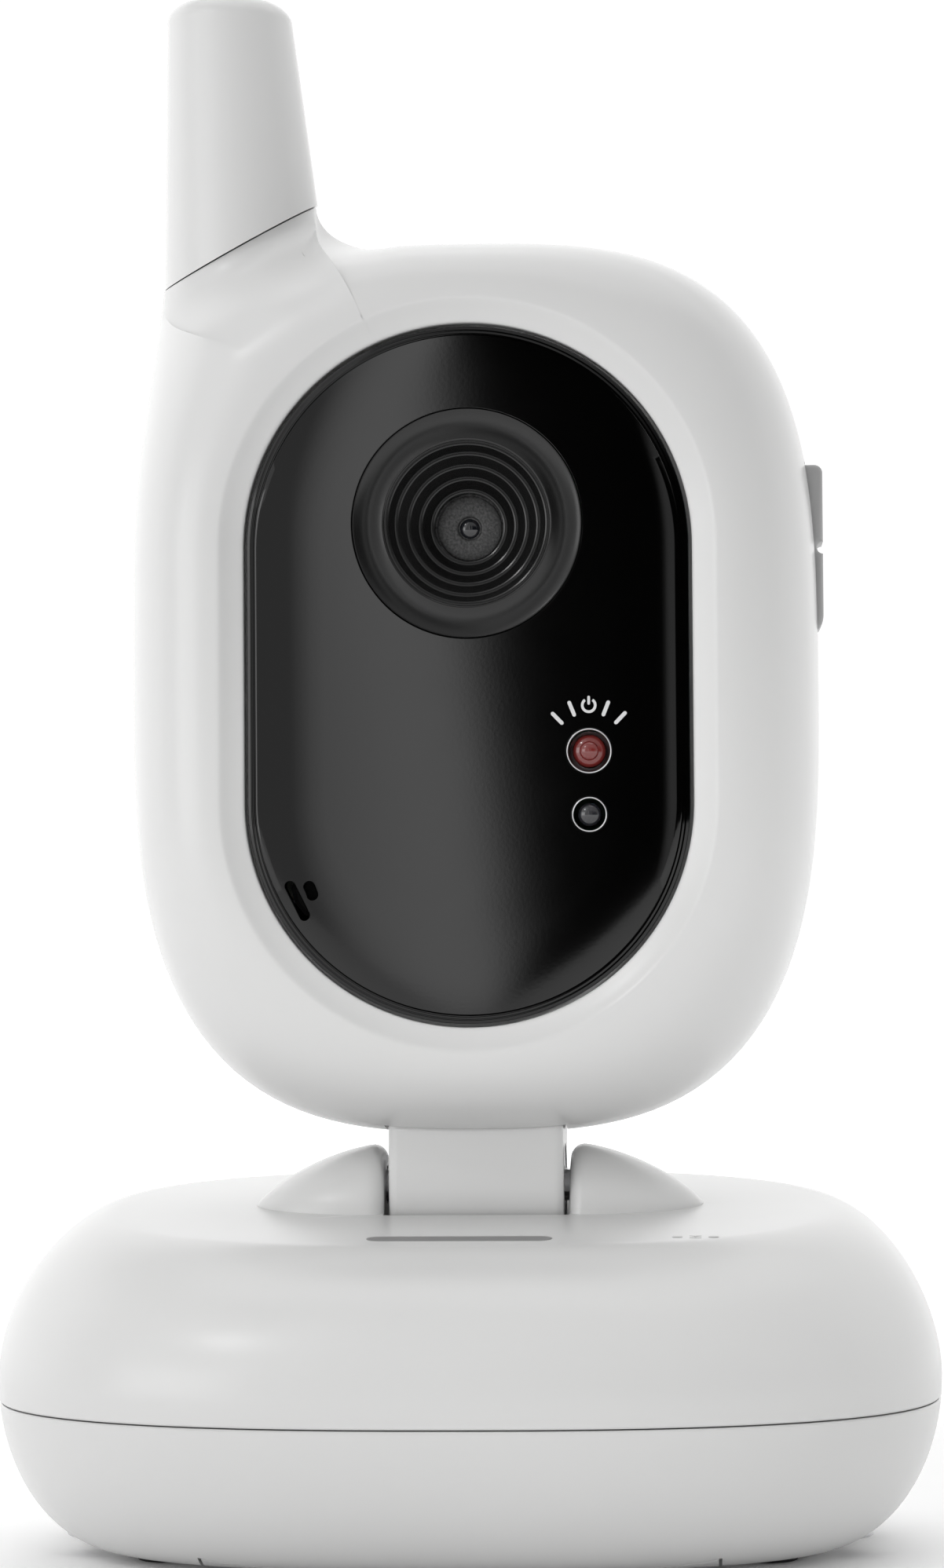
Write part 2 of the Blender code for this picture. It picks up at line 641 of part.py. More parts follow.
def head_boundary(side, inset):
    """Where a half shell starts: (place, direction it sets off in, its point seen from the front).

    side is -1 for the front half and +1 for the back. The outline lies beside the parting
    plane, and half an ellipse crosses the antenna's sloping joint, just below it.
    """
    across = Vector((0.0, side, 0.0))
    down = Vector((math.sin(ANTENNA_LEAN), 0.0, -math.cos(ANTENNA_LEAN)))
    outline = head_outline(inset)
    edge_y = HEAD_PARTING_Y + side * GAP / 2
    last = len(outline) - 1
    turning = 5
    boundary = []
    for k, point in enumerate(outline):
        share = 0.5 * max(0.0, 1 - min(k, last - k) / turning)
        start = (across * (1 - share) + down * share).normalized()
        boundary.append((Vector((point.x, edge_y, point.y)), start, point))
    left = boundary[-1][0]
    right = boundary[0][0]
    middle = (left + right) / 2
    deepest = Vector((0.0, side, side * JOINT_TILT)) * (CUT_HALF_DEPTH - GAP / 2 - inset)
    for k in range(1, CUT_SIDES):
        angle = math.pi * k / CUT_SIDES
        place = middle + (left - middle) * math.cos(angle) + deepest * math.sin(angle)
        share = 1 - 0.5 * max(0.0, 1 - min(k, CUT_SIDES - k) / 3)
        start = (across * (1 - share) + down * share).normalized()
        flat = outline[-1].lerp(outline[0], k / CUT_SIDES)
        boundary.append((place, start, flat))
    slope = (right - left).normalized()
    below = Vector((slope.z, 0.0, -slope.x)) * GAP / 2
    return [(place + below if index >= last or index == 0 else place, start, point)
            for index, (place, start, point) in enumerate(boundary)]


def head_patch(side, inner_half_width, level, inset):
    """Rings that roll over from the parting plane to a flat face at y = level."""
    rings = [[] for _ in range(PATCH_ROWS + 1)]
    for place, start, point in head_boundary(side, inset):
        flat_end, flat_out = stadium_nearest(point, inner_half_width)
        end = Vector((flat_end.x, level, flat_end.y))
        out = Vector((flat_out.x, 0.0, flat_out.y))
        depth = abs(level - HEAD_PARTING_Y)
        inward = math.hypot(place.x - end.x, place.z - end.z)
        leave = start * HEAD_ROUNDING * (depth * abs(start.y) + inward * 0.6 * (1 - abs(start.y)))
        arrive = -out * HEAD_ROUNDING * inward
        for row in range(PATCH_ROWS + 1):
            u = math.sin(math.pi / 2 * row / PATCH_ROWS) ** 1.2
            value = (place * (2 * u ** 3 - 3 * u ** 2 + 1) + leave * (u ** 3 - 2 * u ** 2 + u)
                     + end * (3 * u ** 2 - 2 * u ** 3) + arrive * (u ** 3 - u ** 2))
            rings[row].append(value)
    return rings


def stadium_ring(side, half_width, level):
    """A round-ended slot's outline with the same points as the head's rings."""
    ring = []
    for _, _, point in head_boundary(side, 0.0):
        place, _ = stadium_nearest(point, half_width)
        ring.append(Vector((place.x, level, place.y)))
    return ring


def joint_block(name):
    """A block that ends just above the antenna's sloping joint, with the head below it."""
    across = Vector((CUT_RIGHT[0] - CUT_LEFT[0], 0.0, CUT_RIGHT[1] - CUT_LEFT[1]))
    middle = Vector(((CUT_LEFT[0] + CUT_RIGHT[0]) / 2, 0.0, (CUT_LEFT[1] + CUT_RIGHT[1]) / 2))
    mesh = box(name, (-14.0, -12.0, -30.0), (14.0, 16.0, GAP / 2))
    slope = math.atan2(across.z, across.x)
    for vertex in mesh.vertices:
        vertex.co.z += JOINT_TILT * math.cos(slope) * (vertex.co.y - HEAD_PARTING_Y * MM)
    turn = Matrix.Rotation(-slope, 4, "Y")
    mesh.transform(Matrix.Translation(middle * MM) @ turn)
    return mesh


def neck_opening(shell, name):
    """The hole in the head's underside that the neck comes out of."""
    half_x = NECK_HALF_WIDTH + GAP
    cut(shell, name, box("neck_opening", (-half_x, HINGE_Y - KNUCKLE_RADIUS - GAP, 34.0),
                         (half_x, HINGE_Y + KNUCKLE_RADIUS + GAP, 44.0)))


def rocker_opening(shell, name):
    """The hole in the head's side that the rocker stands in."""
    half_y = ROCKER_HALF_WIDTH + GAP
    half_z = ROCKER_HALF_LENGTH + GAP
    cut(shell, name, box("rocker_opening", (26.0, HEAD_PARTING_Y - half_y, ROCKER_Z - half_z),
                         (36.0, HEAD_PARTING_Y + half_y, ROCKER_Z + half_z)))


def make_head_front_shell(head):
    """Front casing: rounded rim, sloping recess and the seat of the window."""
    rim = WINDOW_HALF_WIDTH + RECESS_WIDTH
    seat = WINDOW_HALF_WIDTH + GAP
    ledge = WINDOW_FRONT_Y + WINDOW_THICKNESS + GAP
    outer = head_patch(-1, rim, HEAD_FRONT_Y, 0.0)
    for half_width, level in ((seat + 0.8, -13.1), (seat, -12.8), (seat, ledge),
                              (seat - 1.6, ledge), (seat - 1.6, ledge + 1.4),
                              (seat + 1.9, ledge + 1.4)):
        outer.append(stadium_ring(-1, half_width, level))
    inner = head_patch(-1, rim + 0.3, HEAD_FRONT_Y + WALL, WALL)
    shell = add_part("head_front_shell", loft("head_front_shell", inner[::-1] + outer, True),
                     "white_shell", head)
    for i, (x, z) in enumerate(HEAD_BOSSES):
        fuse(shell, f"head_boss_{i + 1}",
             cylinder("boss", HEAD_BOSS_RADIUS, HEAD_BOSS_END_Y + 10.6, (x, -10.6, z), "+Y", 12))
        cut(shell, f"head_boss_hole_{i + 1}",
            cylinder("hole", SCREW_RADIUS + GAP, 12.0, (x, HEAD_BOSS_END_Y - 9.0, z), "+Y", 10))
    neck_opening(shell, "neck_opening_front")
    rocker_opening(shell, "rocker_opening_front")
    return shell


def make_head_rear_shell(head):
    """Back casing: rounded rim and a flat back with deep screw holes."""
    outer = head_patch(1, REAR_FLAT_HALF_WIDTH, HEAD_REAR_Y, 0.0)
    inner = head_patch(1, REAR_FLAT_HALF_WIDTH, HEAD_REAR_Y - WALL, WALL)
    shell = add_part("head_rear_shell", loft("head_rear_shell", inner[::-1] + outer),
                     "white_shell", head)
    floor = HEAD_BOSS_END_Y + GAP
    for i, (x, z) in enumerate(HEAD_BOSSES):
        fuse(shell, f"screw_well_{i + 1}",
             cylinder("well", SCREW_HEAD_RADIUS + 1.3, 5.0, (x, floor, z), "+Y", 12))
        cut(shell, f"screw_well_bore_{i + 1}",
            cylinder("bore", SCREW_HEAD_RADIUS + GAP, 14.0, (x, floor + 1.4, z), "+Y", 12))
        cut(shell, f"screw_well_hole_{i + 1}",
            cylinder("hole", SCREW_RADIUS + GAP, 4.0, (x, floor - 1.0, z), "+Y", 10))
    neck_opening(shell, "neck_opening_rear")
    rocker_opening(shell, "rocker_opening_rear")
    return shell


def antenna_axis_point(level):
    """The middle of the antenna at a height."""
    return ANTENNA_TOP[0] + (ANTENNA_TOP[1] - level) * math.tan(ANTENNA_LEAN)


def antenna_profile(inset):
    """Half section (radius, height) of the antenna's cap, from its top down."""
    crown = ANTENNA_TOP[1] - inset
    radius = ANTENNA_TOP_RADIUS - inset
    base = 108.0 - inset
    return [(0.0, crown), (radius * 0.55, crown - 0.25), (radius * 0.85, crown - 0.9),
            (radius, crown - 2.1), (radius + ANTENNA_TAPER * (crown - 2.1 - base), base),
            (0.0, base)]


def antenna_solid(name, inset):
    """The antenna's leaning, tapering body, cut off square inside the head."""
    mesh = turned(name, antenna_profile(inset), (0.0, 0.0, 0.0), sides=20)
    for vertex in mesh.vertices:
        level = vertex.co.z / MM
        vertex.co.x += antenna_axis_point(level) * MM
        vertex.co.y += HEAD_PARTING_Y * MM
    return mesh


def make_antenna(head):
    """The hollow antenna cap and the brass rod in it."""
    cap = add_part("antenna_cap", antenna_solid("antenna_cap", 0.0), "white_shell", head)
    cut(cap, "antenna_hollow", antenna_solid("antenna_hollow", 1.6))
    cut(cap, "antenna_foot", joint_block("joint_block"))
    foot = antenna_axis_point(113.0)
    mesh = cylinder("rod", 1.0, 26.0, (0.0, 0.0, 0.0), sides=10)
    mesh.transform(Matrix.Translation(Vector((foot, HEAD_PARTING_Y, 113.0)) * MM)
                   @ Matrix.Rotation(-ANTENNA_LEAN, 4, "Y"))
    add_part("antenna_rod", mesh, "brass", head)


def stadium_outline(half_width, straight, steps):
    """A round-ended slot's outline round the origin."""
    points = []
    for end in (1, -1):
        for k in range(steps + 1):
            angle = math.pi * k / steps + (0 if end > 0 else math.pi)
            points.append((half_width * math.cos(angle),
                           end * straight + half_width * math.sin(angle)))
    return points


def front_plate(name, outline, front, back, centre_z=0.0):
    """A plate whose (x, z) outline is seen from the front."""
    rings = [[(x, y, centre_z + z) for x, z in outline] for y in (front, back)]
    return loft(name, rings)


def slot_outline(ends, width):
    """A short slot's outline between two points (x, z)."""
    (x1, z1), (x2, z2) = ends
    along = math.atan2(z2 - z1, x2 - x1)
    reach = (math.hypot(x2 - x1, z2 - z1) - width) / 2
    points = []
    for end in (1, -1):
        for k in range(5):
            angle = -math.pi / 2 + math.pi * k / 4 + (0 if end > 0 else math.pi)
            u = end * reach + width / 2 * math.cos(angle)
            v = width / 2 * math.sin(angle)
            points.append(((x1 + x2) / 2 + u * math.cos(along) - v * math.sin(along),
                           (z1 + z2) / 2 + u * math.sin(along) + v * math.cos(along)))
    return points


def make_window(head):
    """The dark window with holes for the lens, the power light, its sensor and the sound."""
    back = WINDOW_FRONT_Y + WINDOW_THICKNESS
    outline = stadium_outline(WINDOW_HALF_WIDTH, WINDOW_STRAIGHT, 18)
    window = add_part("face_window", front_plate("face_window", outline, WINDOW_FRONT_Y, back,
                                                 WINDOW_CENTRE_Z), "black_window", head)
    start = WINDOW_FRONT_Y - 2.0
    cut(window, "lens_hole", cylinder("lens_hole", BEZEL_RADIUS + GAP, 8.0, (0.0, start, LENS_Z),
                                      "+Y", 32))
    cut(window, "led_hole", cylinder("led_hole", LED_RADIUS + 0.45, 8.0, (LED_X, start, LED_Z),
                                     "+Y", 16))
    cut(window, "sensor_hole", cylinder("sensor_hole", SENSOR_RADIUS + 0.45, 8.0,
                                        (LED_X, start, SENSOR_Z), "+Y", 14))
    for i, ends in enumerate(MIC_SLOTS):
        cut(window, f"sound_slot_{i + 1}",
            front_plate("slot", slot_outline(ends, MIC_SLOT_WIDTH), start, back + 2.0))


def hood_profile():
    """Half section of the lens hood: a shallow gutter, then a cone of steps inside."""
    outer = BEZEL_RADIUS
    gutter = [(outer, 0.0), (9.9, -0.22), (9.4, -0.36), (8.9, -0.41), (8.4, -0.36), (7.9, -0.22),
              (7.6, -0.14)]
    steps = []
    radius = 7.35
    depth = 0.9
    for _ in range(5):
        steps += [(radius, -depth), (radius - 0.75, -depth - 0.12)]
        radius -= 0.9
        depth += 0.75
    bore = steps[-1][0]
    inner = [(bore, -5.2)]
    outside = [(bore + 1.0, -5.2), (8.6, -2.6), (outer, -2.2)]
    return steps, gutter, inner, outside


def make_lens(head):
    """Hood, barrel, front element and holder, all on the lens's axis."""
    steps, gutter, inner, outside = hood_profile()
    loop = outside[::-1] + inner[::-1] + steps[::-1] + gutter[::-1]
    mesh = turned("lens_hood", loop, (0.0, WINDOW_FRONT_Y, LENS_Z), "-Y", 22)
    add_part("lens_hood", mesh, "black_gloss", head)
    barrel = [(0.0, -5.95), (1.2, -5.9), (1.25, -5.45), (4.0, -5.45), (4.0, -12.6), (0.0, -12.6)]
    mesh = turned("lens_barrel", barrel, (0.0, WINDOW_FRONT_Y, LENS_Z), "-Y", 20)
    add_part("lens_barrel", mesh, "black_matte", head)
    element = [(0.0, -5.35), (0.5, -5.4), (0.85, -5.6), (0.0, -5.62)]
    mesh = turned("lens_element", element, (0.0, WINDOW_FRONT_Y, LENS_Z), "-Y", 14)
    add_part("lens_element", mesh, "optical_glass", head)
    holder = [(4.35, -7.6), (6.0, -7.6), (6.0, -14.5), (4.35, -14.5)]
    mesh = turned("lens_holder", holder, (0.0, WINDOW_FRONT_Y, LENS_Z), "-Y", 20)
    add_part("lens_holder", mesh, "black_matte", head)


def make_head_electronics(head):
    """Boards and what is soldered to them."""
    back = BOARD_Y + BOARD_THICKNESS
    add_part("main_board", box("main_board", (-17.0, BOARD_Y, 57.0), (17.0, back, 106.0)),
             "green_board", head)
    add_part("image_sensor", box("image_sensor", (-2.8, BOARD_Y - 1.2, LENS_Z - 2.8),
                                 (2.8, BOARD_Y - GAP, LENS_Z + 2.8)), "black_matte", head)
    add_part("radio_shield", box("radio_shield", (-13.0, back + GAP, 62.0),
                                 (9.0, back + 3.0, 80.0), 0.4), "steel", head)
    led_back = WINDOW_FRONT_Y + WINDOW_THICKNESS
    led = [(0.0, 0.35), (0.7, 0.2), (1.2, -0.25), (LED_RADIUS, -0.95), (LED_RADIUS, -3.2),
           (1.9, -3.2), (1.9, -4.4), (0.0, -4.4)]
    add_part("power_light", turned("power_light", led, (LED_X, WINDOW_FRONT_Y, LED_Z), "-Y", 16),
             "red_lens", head)
    sensor = [(0.0, 0.1), (0.6, -0.05), (SENSOR_RADIUS, -0.6), (SENSOR_RADIUS, -3.2), (0.0, -3.2)]
    add_part("light_sensor", turned("light_sensor", sensor, (LED_X, WINDOW_FRONT_Y, SENSOR_Z),
                                    "-Y", 14), "dark_lens", head)
    infrared = [(0.0, 0.0), (1.3, -0.4), (2.2, -1.4), (2.5, -2.5), (2.5, -7.5), (0.0, -7.5)]
    places = ((-10.5, 76.0), (-3.0, 76.0), (-10.5, 67.0), (-3.0, 67.0))
    for i, (x, z) in enumerate(places):
        mesh = turned("infrared", infrared, (x, led_back + 0.8, z), "-Y", 10)
        add_part(f"infrared_light_{i + 1}", mesh, "dark_lens", head)
    capsule = [(0.0, 0.0), (2.6, 0.0), (3.0, -0.4), (3.0, -2.4), (0.0, -2.4)]
    add_part("microphone", turned("microphone", capsule, (-13.2, led_back + 0.4, 60.4), "-Y", 14),
             "steel", head)


def make_rocker(head, pivot):
    """The volume rocker, its board and its two switches."""
    low_y = HEAD_PARTING_Y - ROCKER_HALF_WIDTH
    high_y = HEAD_PARTING_Y + ROCKER_HALF_WIDTH
    outline = []
    corner = 1.2
    for x, z in ((ROCKER_INNER_X, -ROCKER_HALF_LENGTH), (ROCKER_OUTER_X - 0.6, -ROCKER_HALF_LENGTH),
                 (ROCKER_OUTER_X, corner - ROCKER_HALF_LENGTH), (ROCKER_OUTER_X, -0.6),
                 (ROCKER_OUTER_X - 0.45, -0.4), (ROCKER_OUTER_X - 0.6, 0.0),
                 (ROCKER_OUTER_X - 0.45, 0.4), (ROCKER_OUTER_X, 0.6),
                 (ROCKER_OUTER_X, ROCKER_HALF_LENGTH - corner),
                 (ROCKER_OUTER_X - 0.6, ROCKER_HALF_LENGTH), (ROCKER_INNER_X, ROCKER_HALF_LENGTH)):
        outline.append((x, ROCKER_Z + z))
    rings = [[(x, y, z) for x, z in outline] for y in (low_y, high_y)]
    add_part("rocker_button", loft("rocker_button", rings), "grey_button", pivot)
    add_part("button_board", box("button_board", (22.9, HEAD_PARTING_Y - 5.0, ROCKER_Z - 8.6),
                                 (23.9, HEAD_PARTING_Y + 5.0, ROCKER_Z + 8.6)), "green_board",
             head)
    for label, offset in (("lower", -5.0), ("upper", 5.0)):
        middle = ROCKER_Z + offset
        switch = add_part("switch_" + label, box(
            "switch", (24.2, HEAD_PARTING_Y - 2.2, middle - 2.2),
            (26.6, HEAD_PARTING_Y + 2.2, middle + 2.2)), "steel", head)
        fuse(switch, "plunger_" + label,
             cylinder("plunger", 1.0, 2.0, (26.4, HEAD_PARTING_Y, middle), "+X", 10))


def make_neck(head):
    """The neck: a round knuckle on the pin, a column and a flange inside the head."""
    outline = []
    steps = 10
    for k in range(steps + 1):
        angle = -math.pi * k / steps
        outline.append((HINGE_Y + KNUCKLE_RADIUS * math.cos(angle),
                        HINGE_Z + KNUCKLE_RADIUS * math.sin(angle)))
    outline += [(HINGE_Y - KNUCKLE_RADIUS, 44.0), (HINGE_Y + KNUCKLE_RADIUS, 44.0)]
    neck = add_part("neck", side_profile_plate("neck", outline, -NECK_HALF_WIDTH,
                                               NECK_HALF_WIDTH), "white_shell", head)
    fuse(neck, "neck_flange", box("neck_flange", (-11.0, HINGE_Y - 5.8, 43.2),
                                  (11.0, HINGE_Y + 5.8, 45.2)))
    cut(neck, "neck_pin_bore", cylinder("bore", PIN_RADIUS + GAP, 30.0,
                                        (-15.0, HINGE_Y, HINGE_Z), "+X", 16))
    for side in (-1, 1):
        label = "left" if side < 0 else "right"
        outer = side * (NECK_HALF_WIDTH + 1.0)
        cut(neck, "washer_pocket_" + label,
            cylinder("pocket", 3.8, 2.4, (outer, HINGE_Y, HINGE_Z), "-X" if side > 0 else "+X", 16))
        ring = [(PIN_RADIUS + GAP, 0.0), (3.5, 0.0), (3.5, -0.9), (PIN_RADIUS + GAP, -0.9)]
        mesh = turned("washer", ring, (side * (NECK_HALF_WIDTH - 0.1), HINGE_Y, HINGE_Z),
                      "+X" if side > 0 else "-X", 16)
        add_part("friction_washer_" + label, mesh, "steel", head)


def make_head(head, pivot):
    """All that tilts, and the rocker that swings in it."""
    make_head_front_shell(head)
    make_head_rear_shell(head)
    make_antenna(head)
    make_window(head)
    make_lens(head)
    make_head_electronics(head)
    make_rocker(head, pivot)
    make_neck(head)
    for i, (x, z) in enumerate(HEAD_BOSSES):
        seat = HEAD_BOSS_END_Y + 2 * GAP + 2.4
        make_screw(f"head_screw_{i + 1}", 8.0, (x, seat, z), "+Y", head)


def make_joint_empty(name, place, parent=None):
    """An empty that stands on a joint's axis."""
    empty = bpy.data.objects.new(name, None)
    PARTS.objects.link(empty)
    empty.empty_display_size = 0.01
    empty.location = [value * MM for value in place]
    bpy.context.view_layer.update()
    if parent:
        empty.parent = parent
        empty.matrix_parent_inverse = parent.matrix_world.inverted()
    return empty


def main():
    """Build the whole camera. The head is built round x = 0, then set over its hinge."""
    make_base()
    base_cutters = set(CUTTERS.objects)
    head = make_joint_empty("head_tilt_axis", (0.0, HINGE_Y, HINGE_Z))
    pivot = make_joint_empty("rocker_axis", (ROCKER_PIVOT_X, HEAD_PARTING_Y, ROCKER_Z), head)
    make_head(head, pivot)
    for obj in [head] + [obj for obj in CUTTERS.objects if obj not in base_cutters]:
        obj.location.x += HINGE_X * MM


main()
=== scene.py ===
"""Fine surfaces, finishes and a studio for the baby monitor camera.

Sizes are in millimetres, and MM turns them into the scene's metres. +Z is up and the camera
head looks along -Y. The head's values of x are counted from its own middle, which stands
HEAD_X to the right of the base's.
"""

import json
import math

import bmesh
import bpy
from mathutils import Matrix, Vector


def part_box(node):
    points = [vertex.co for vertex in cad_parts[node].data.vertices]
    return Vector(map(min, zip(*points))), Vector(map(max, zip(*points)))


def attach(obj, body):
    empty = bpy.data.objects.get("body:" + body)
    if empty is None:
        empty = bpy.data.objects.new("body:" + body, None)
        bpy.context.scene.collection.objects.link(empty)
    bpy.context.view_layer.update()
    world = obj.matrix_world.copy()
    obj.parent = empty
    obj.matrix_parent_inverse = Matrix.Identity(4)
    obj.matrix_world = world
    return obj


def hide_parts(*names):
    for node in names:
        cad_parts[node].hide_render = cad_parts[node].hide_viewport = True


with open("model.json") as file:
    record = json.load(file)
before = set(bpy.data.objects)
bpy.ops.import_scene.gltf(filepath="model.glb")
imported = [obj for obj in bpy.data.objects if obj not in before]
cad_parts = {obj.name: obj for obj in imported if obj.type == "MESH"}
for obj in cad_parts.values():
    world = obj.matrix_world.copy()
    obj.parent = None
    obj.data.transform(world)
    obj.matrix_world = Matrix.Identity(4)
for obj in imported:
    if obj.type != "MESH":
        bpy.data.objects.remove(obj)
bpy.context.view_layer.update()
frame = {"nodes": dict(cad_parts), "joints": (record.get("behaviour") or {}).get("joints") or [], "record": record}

MM = 0.001
GAP = 0.3                       # round pieces that fit into openings
SEAM = 0.13                     # between casing halves
WALL = 2.0                      # moulded shells
PRINT = 0.03                    # thickness of printed marks


def corners(node):
    """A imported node's lowest and highest corners, in millimetres."""
    low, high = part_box(node)
    return Vector(low) / MM, Vector(high) / MM


def middle(node):
    """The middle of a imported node's box, in millimetres."""
    low, high = corners(node)
    return (low + high) / 2


def half_size(node):
    """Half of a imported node's width, depth and height, in millimetres."""
    low, high = corners(node)
    return (high - low) / 2


JOINTS = {joint["name"]: joint for joint in frame["joints"]}
HEAD_X, HINGE_Y, HINGE_Z = (value / MM for value in JOINTS["head_tilt"]["pos_m"])
TILT_BACK, TILT_FORWARD = (abs(value) for value in JOINTS["head_tilt"]["range_deg"])

# Base
BASE_HALF_WIDTH, BASE_HALF_DEPTH = corners("base_upper_shell")[1].xy
BASE_PLAN_POWER = 2.5           # the powers of its superellipses: in plan, above and below
BASE_TOP_POWER = 1.8
BASE_BOTTOM_POWER = 1.98
BASE_WIDEST_Z = 16.1
BASE_PARTING_Z = 14.05
BASE_TOP_Z = 31.1
BASE_TOP_RISE = 0.098           # how far the top rises, for each mm towards the back
BASE_BOTTOM_Z = corners("base_lower_shell")[0].z
BASE_TOP_INSET = (10.5, 11.0)   # how far the flats lie inside the widest outline (x, y)
BASE_BOTTOM_INSET = (11.0, 12.5)
BASE_EDGE = 0.14                # rounding where the shells part
BASE_SCREWS = tuple(f"base_screw_{i}" for i in range(1, 5))
DOOR_SCREWS = ("battery_door_screw",)
FEET = tuple(f"rubber_foot_{i}" for i in range(1, 5))

# Hinge
TROUGH_RADIUS = 6.9
KNUCKLE_RADIUS = HINGE_Z - corners("neck")[0].z
NECK_HALF_WIDTH = 8.0
NECK_EDGE = 0.9
EAR_INNER_X = 8.5
EAR_LENGTH = 12.2
EAR_HEIGHT = 5.6
EAR_HALF_DEPTH = 6.5
EAR_EDGE = 1.5                  # rounding of the ear's inner edge
PIN_RADIUS = 1.5
WASHER_POCKET_RADIUS = 3.8
HINGE_BLOCK_WALL = 1.7          # the solid block under the ears
HINGE_BLOCK_FLOOR_Z = 24.4

# Head
HEAD_CENTRE_Z = 78.95
HEAD_HALF_WIDTH = 31.8
HEAD_HALF_HEIGHT = 41.1
HEAD_TOP_POWER = 3.24
HEAD_BOTTOM_POWER = 2.97
HEAD_PARTING_Y = JOINTS["rocker_press"]["pos_m"][1] / MM
HEAD_FRONT_Y = corners("head_front_shell")[0].y
HEAD_REAR_Y = corners("head_rear_shell")[1].y
HEAD_ROUNDING = 1.9             # how strongly the casing bulges between parting and face
FILLET_END = math.radians(99)   # where the curves beside the antenna meet the outline
LEFT_START = math.radians(165)
HEAD_SCREWS = tuple(f"head_screw_{i}" for i in range(1, 5))
SCREW_HEAD_RADIUS = 2.1
SCREW_HEAD_HEIGHT = 1.0
SCREW_RADIUS = 1.1

# Antenna
CUT_LEFT = (-29.1, 116.55)      # the ends of the sloping joint (x, z)
CUT_RIGHT = (-14.8, 124.35)
CUT_HALF_DEPTH = 7.05
JOINT_TILT = 0.165              # how far the joint rises, for each mm towards the back
ANTENNA_LEAN = math.radians(3.5)
ANTENNA_TOP = (-22.9, corners("antenna_cap")[1].z)
ANTENNA_TOP_RADIUS = 5.86
ANTENNA_TAPER = 0.073           # how far it widens, for each mm downwards
ANTENNA_CROWN = 2.3             # height of its rounded top

# Window
WINDOW_CENTRE_Z = middle("face_window").z
WINDOW_HALF_WIDTH = half_size("face_window").x
WINDOW_STRAIGHT = 11.5          # half the length of its straight sides
WINDOW_FRONT_Y, WINDOW_BACK_Y = (corner.y for corner in corners("face_window"))
RECESS_WIDTH = 2.3              # the sloping band round the window
REAR_FLAT_HALF_WIDTH = 15.0
LENS_Z = middle("lens_hood").z
BEZEL_RADIUS = 10.35
LED_X = middle("power_light").x - HEAD_X
LED_Z = middle("power_light").z
LED_RADIUS = 1.5
SENSOR_Z = middle("light_sensor").z
SENSOR_RADIUS = 1.05
MIC_SLOTS = (((-16.33, 61.0), (-14.6, 57.5)), ((-14.57, 61.0), (-13.9, 59.3)))
MIC_SLOT_WIDTH = 0.9

# Rocker
ROCKER_LOW, ROCKER_HIGH = corners("rocker_button")

# Fineness
BASE_SIDES = 192                # points round the base
BLEND_SIDES = 16                # points along each curve beside the antenna joint
ROUND_SIDES = 150               # points round the rest of the head
CUT_SIDES = 24                  # points across each half of the antenna joint
HEAD_ROWS = 20                  # rows between the parting and the front or back face


# ---------------- forms: (points, faces) in mm

def evenly(start, end, steps):
    """Evenly spaced values from start to end, both included."""
    return [start + (end - start) * k / steps for k in range(steps + 1)]


def quarter_round(radius, steps):
    """A rounded edge between two faces: (distance from one face, distance from the other)."""
    return [(radius * (1 - math.sin(angle)), radius * (1 - math.cos(angle)))
            for angle in evenly(0.0, math.pi / 2, steps)]


def rounded_ends(low, high, edge, steps):
    """Stations along a bar with rounded ends: (how far its outline shrinks, place along it)."""
    end = quarter_round(edge, steps)
    return ([(inset, low + along) for inset, along in end]
            + [(inset, high - along) for inset, along in end[::-1]])


def dome(radius, height, steps=12):
    """Half section of a dome from its top to its edge."""
    return [(radius * math.sin(angle), height * (math.cos(angle) - 1))
            for angle in evenly(0.0, math.pi / 2, steps)]


def loft_form(rings, looped=False):
    """Rings of points joined by quads; the end rings are filled, or joined if looped."""
    rows = len(rings)
    count = len(rings[0])
    points = [tuple(point) for ring in rings for point in ring]
    faces = []
    for row in range(rows if looped else rows - 1):
        lower = row * count
        upper = (row + 1) % rows * count
        for i in range(count):
            j = (i + 1) % count
            faces.append((lower + i, lower + j, upper + j, upper + i))
    if not looped:
        faces.append(tuple(range(count - 1, -1, -1)))
        faces.append(tuple(range((rows - 1) * count, rows * count)))
    return points, faces


def axis_matrix(axis, origin):
    """The placement that turns +Z to the named axis and moves it to origin."""
    turns = {
        "+Z": Matrix.Identity(4),
        "-Z": Matrix.Rotation(math.pi, 4, "X"),
        "+X": Matrix.Rotation(math.pi / 2, 4, "Y"),
        "-X": Matrix.Rotation(-math.pi / 2, 4, "Y"),
        "+Y": Matrix.Rotation(-math.pi / 2, 4, "X"),
        "-Y": Matrix.Rotation(math.pi / 2, 4, "X"),
    }
    return Matrix.Translation(origin) @ turns[axis]


def turned_form(profile, origin, axis="+Z", sides=96, looped=False):
    """A turned solid from its half section (radius, height); radius 0 closes it on the axis."""
    placement = axis_matrix(axis, origin)
    points = []
    rows = []
    for radius, height in profile:
        count = sides if radius > 0 else 1
        rows.append([len(points) + i for i in range(count)])
        for i in range(count):
            angle = 2 * math.pi * i / sides
            place = Vector((radius * math.cos(angle), radius * math.sin(angle), height))
            points.append(tuple(placement @ place))
    faces = []
    following = rows[1:] + rows[:1] if looped else rows[1:]
    for lower, upper in zip(rows, following):
        for i in range(sides):
            j = (i + 1) % sides
            if len(lower) == 1:
                faces.append((lower[0], upper[j], upper[i]))
            elif len(upper) == 1:
                faces.append((lower[i], lower[j], upper[0]))
            else:
                faces.append((lower[i], lower[j], upper[j], upper[i]))
    return points, faces


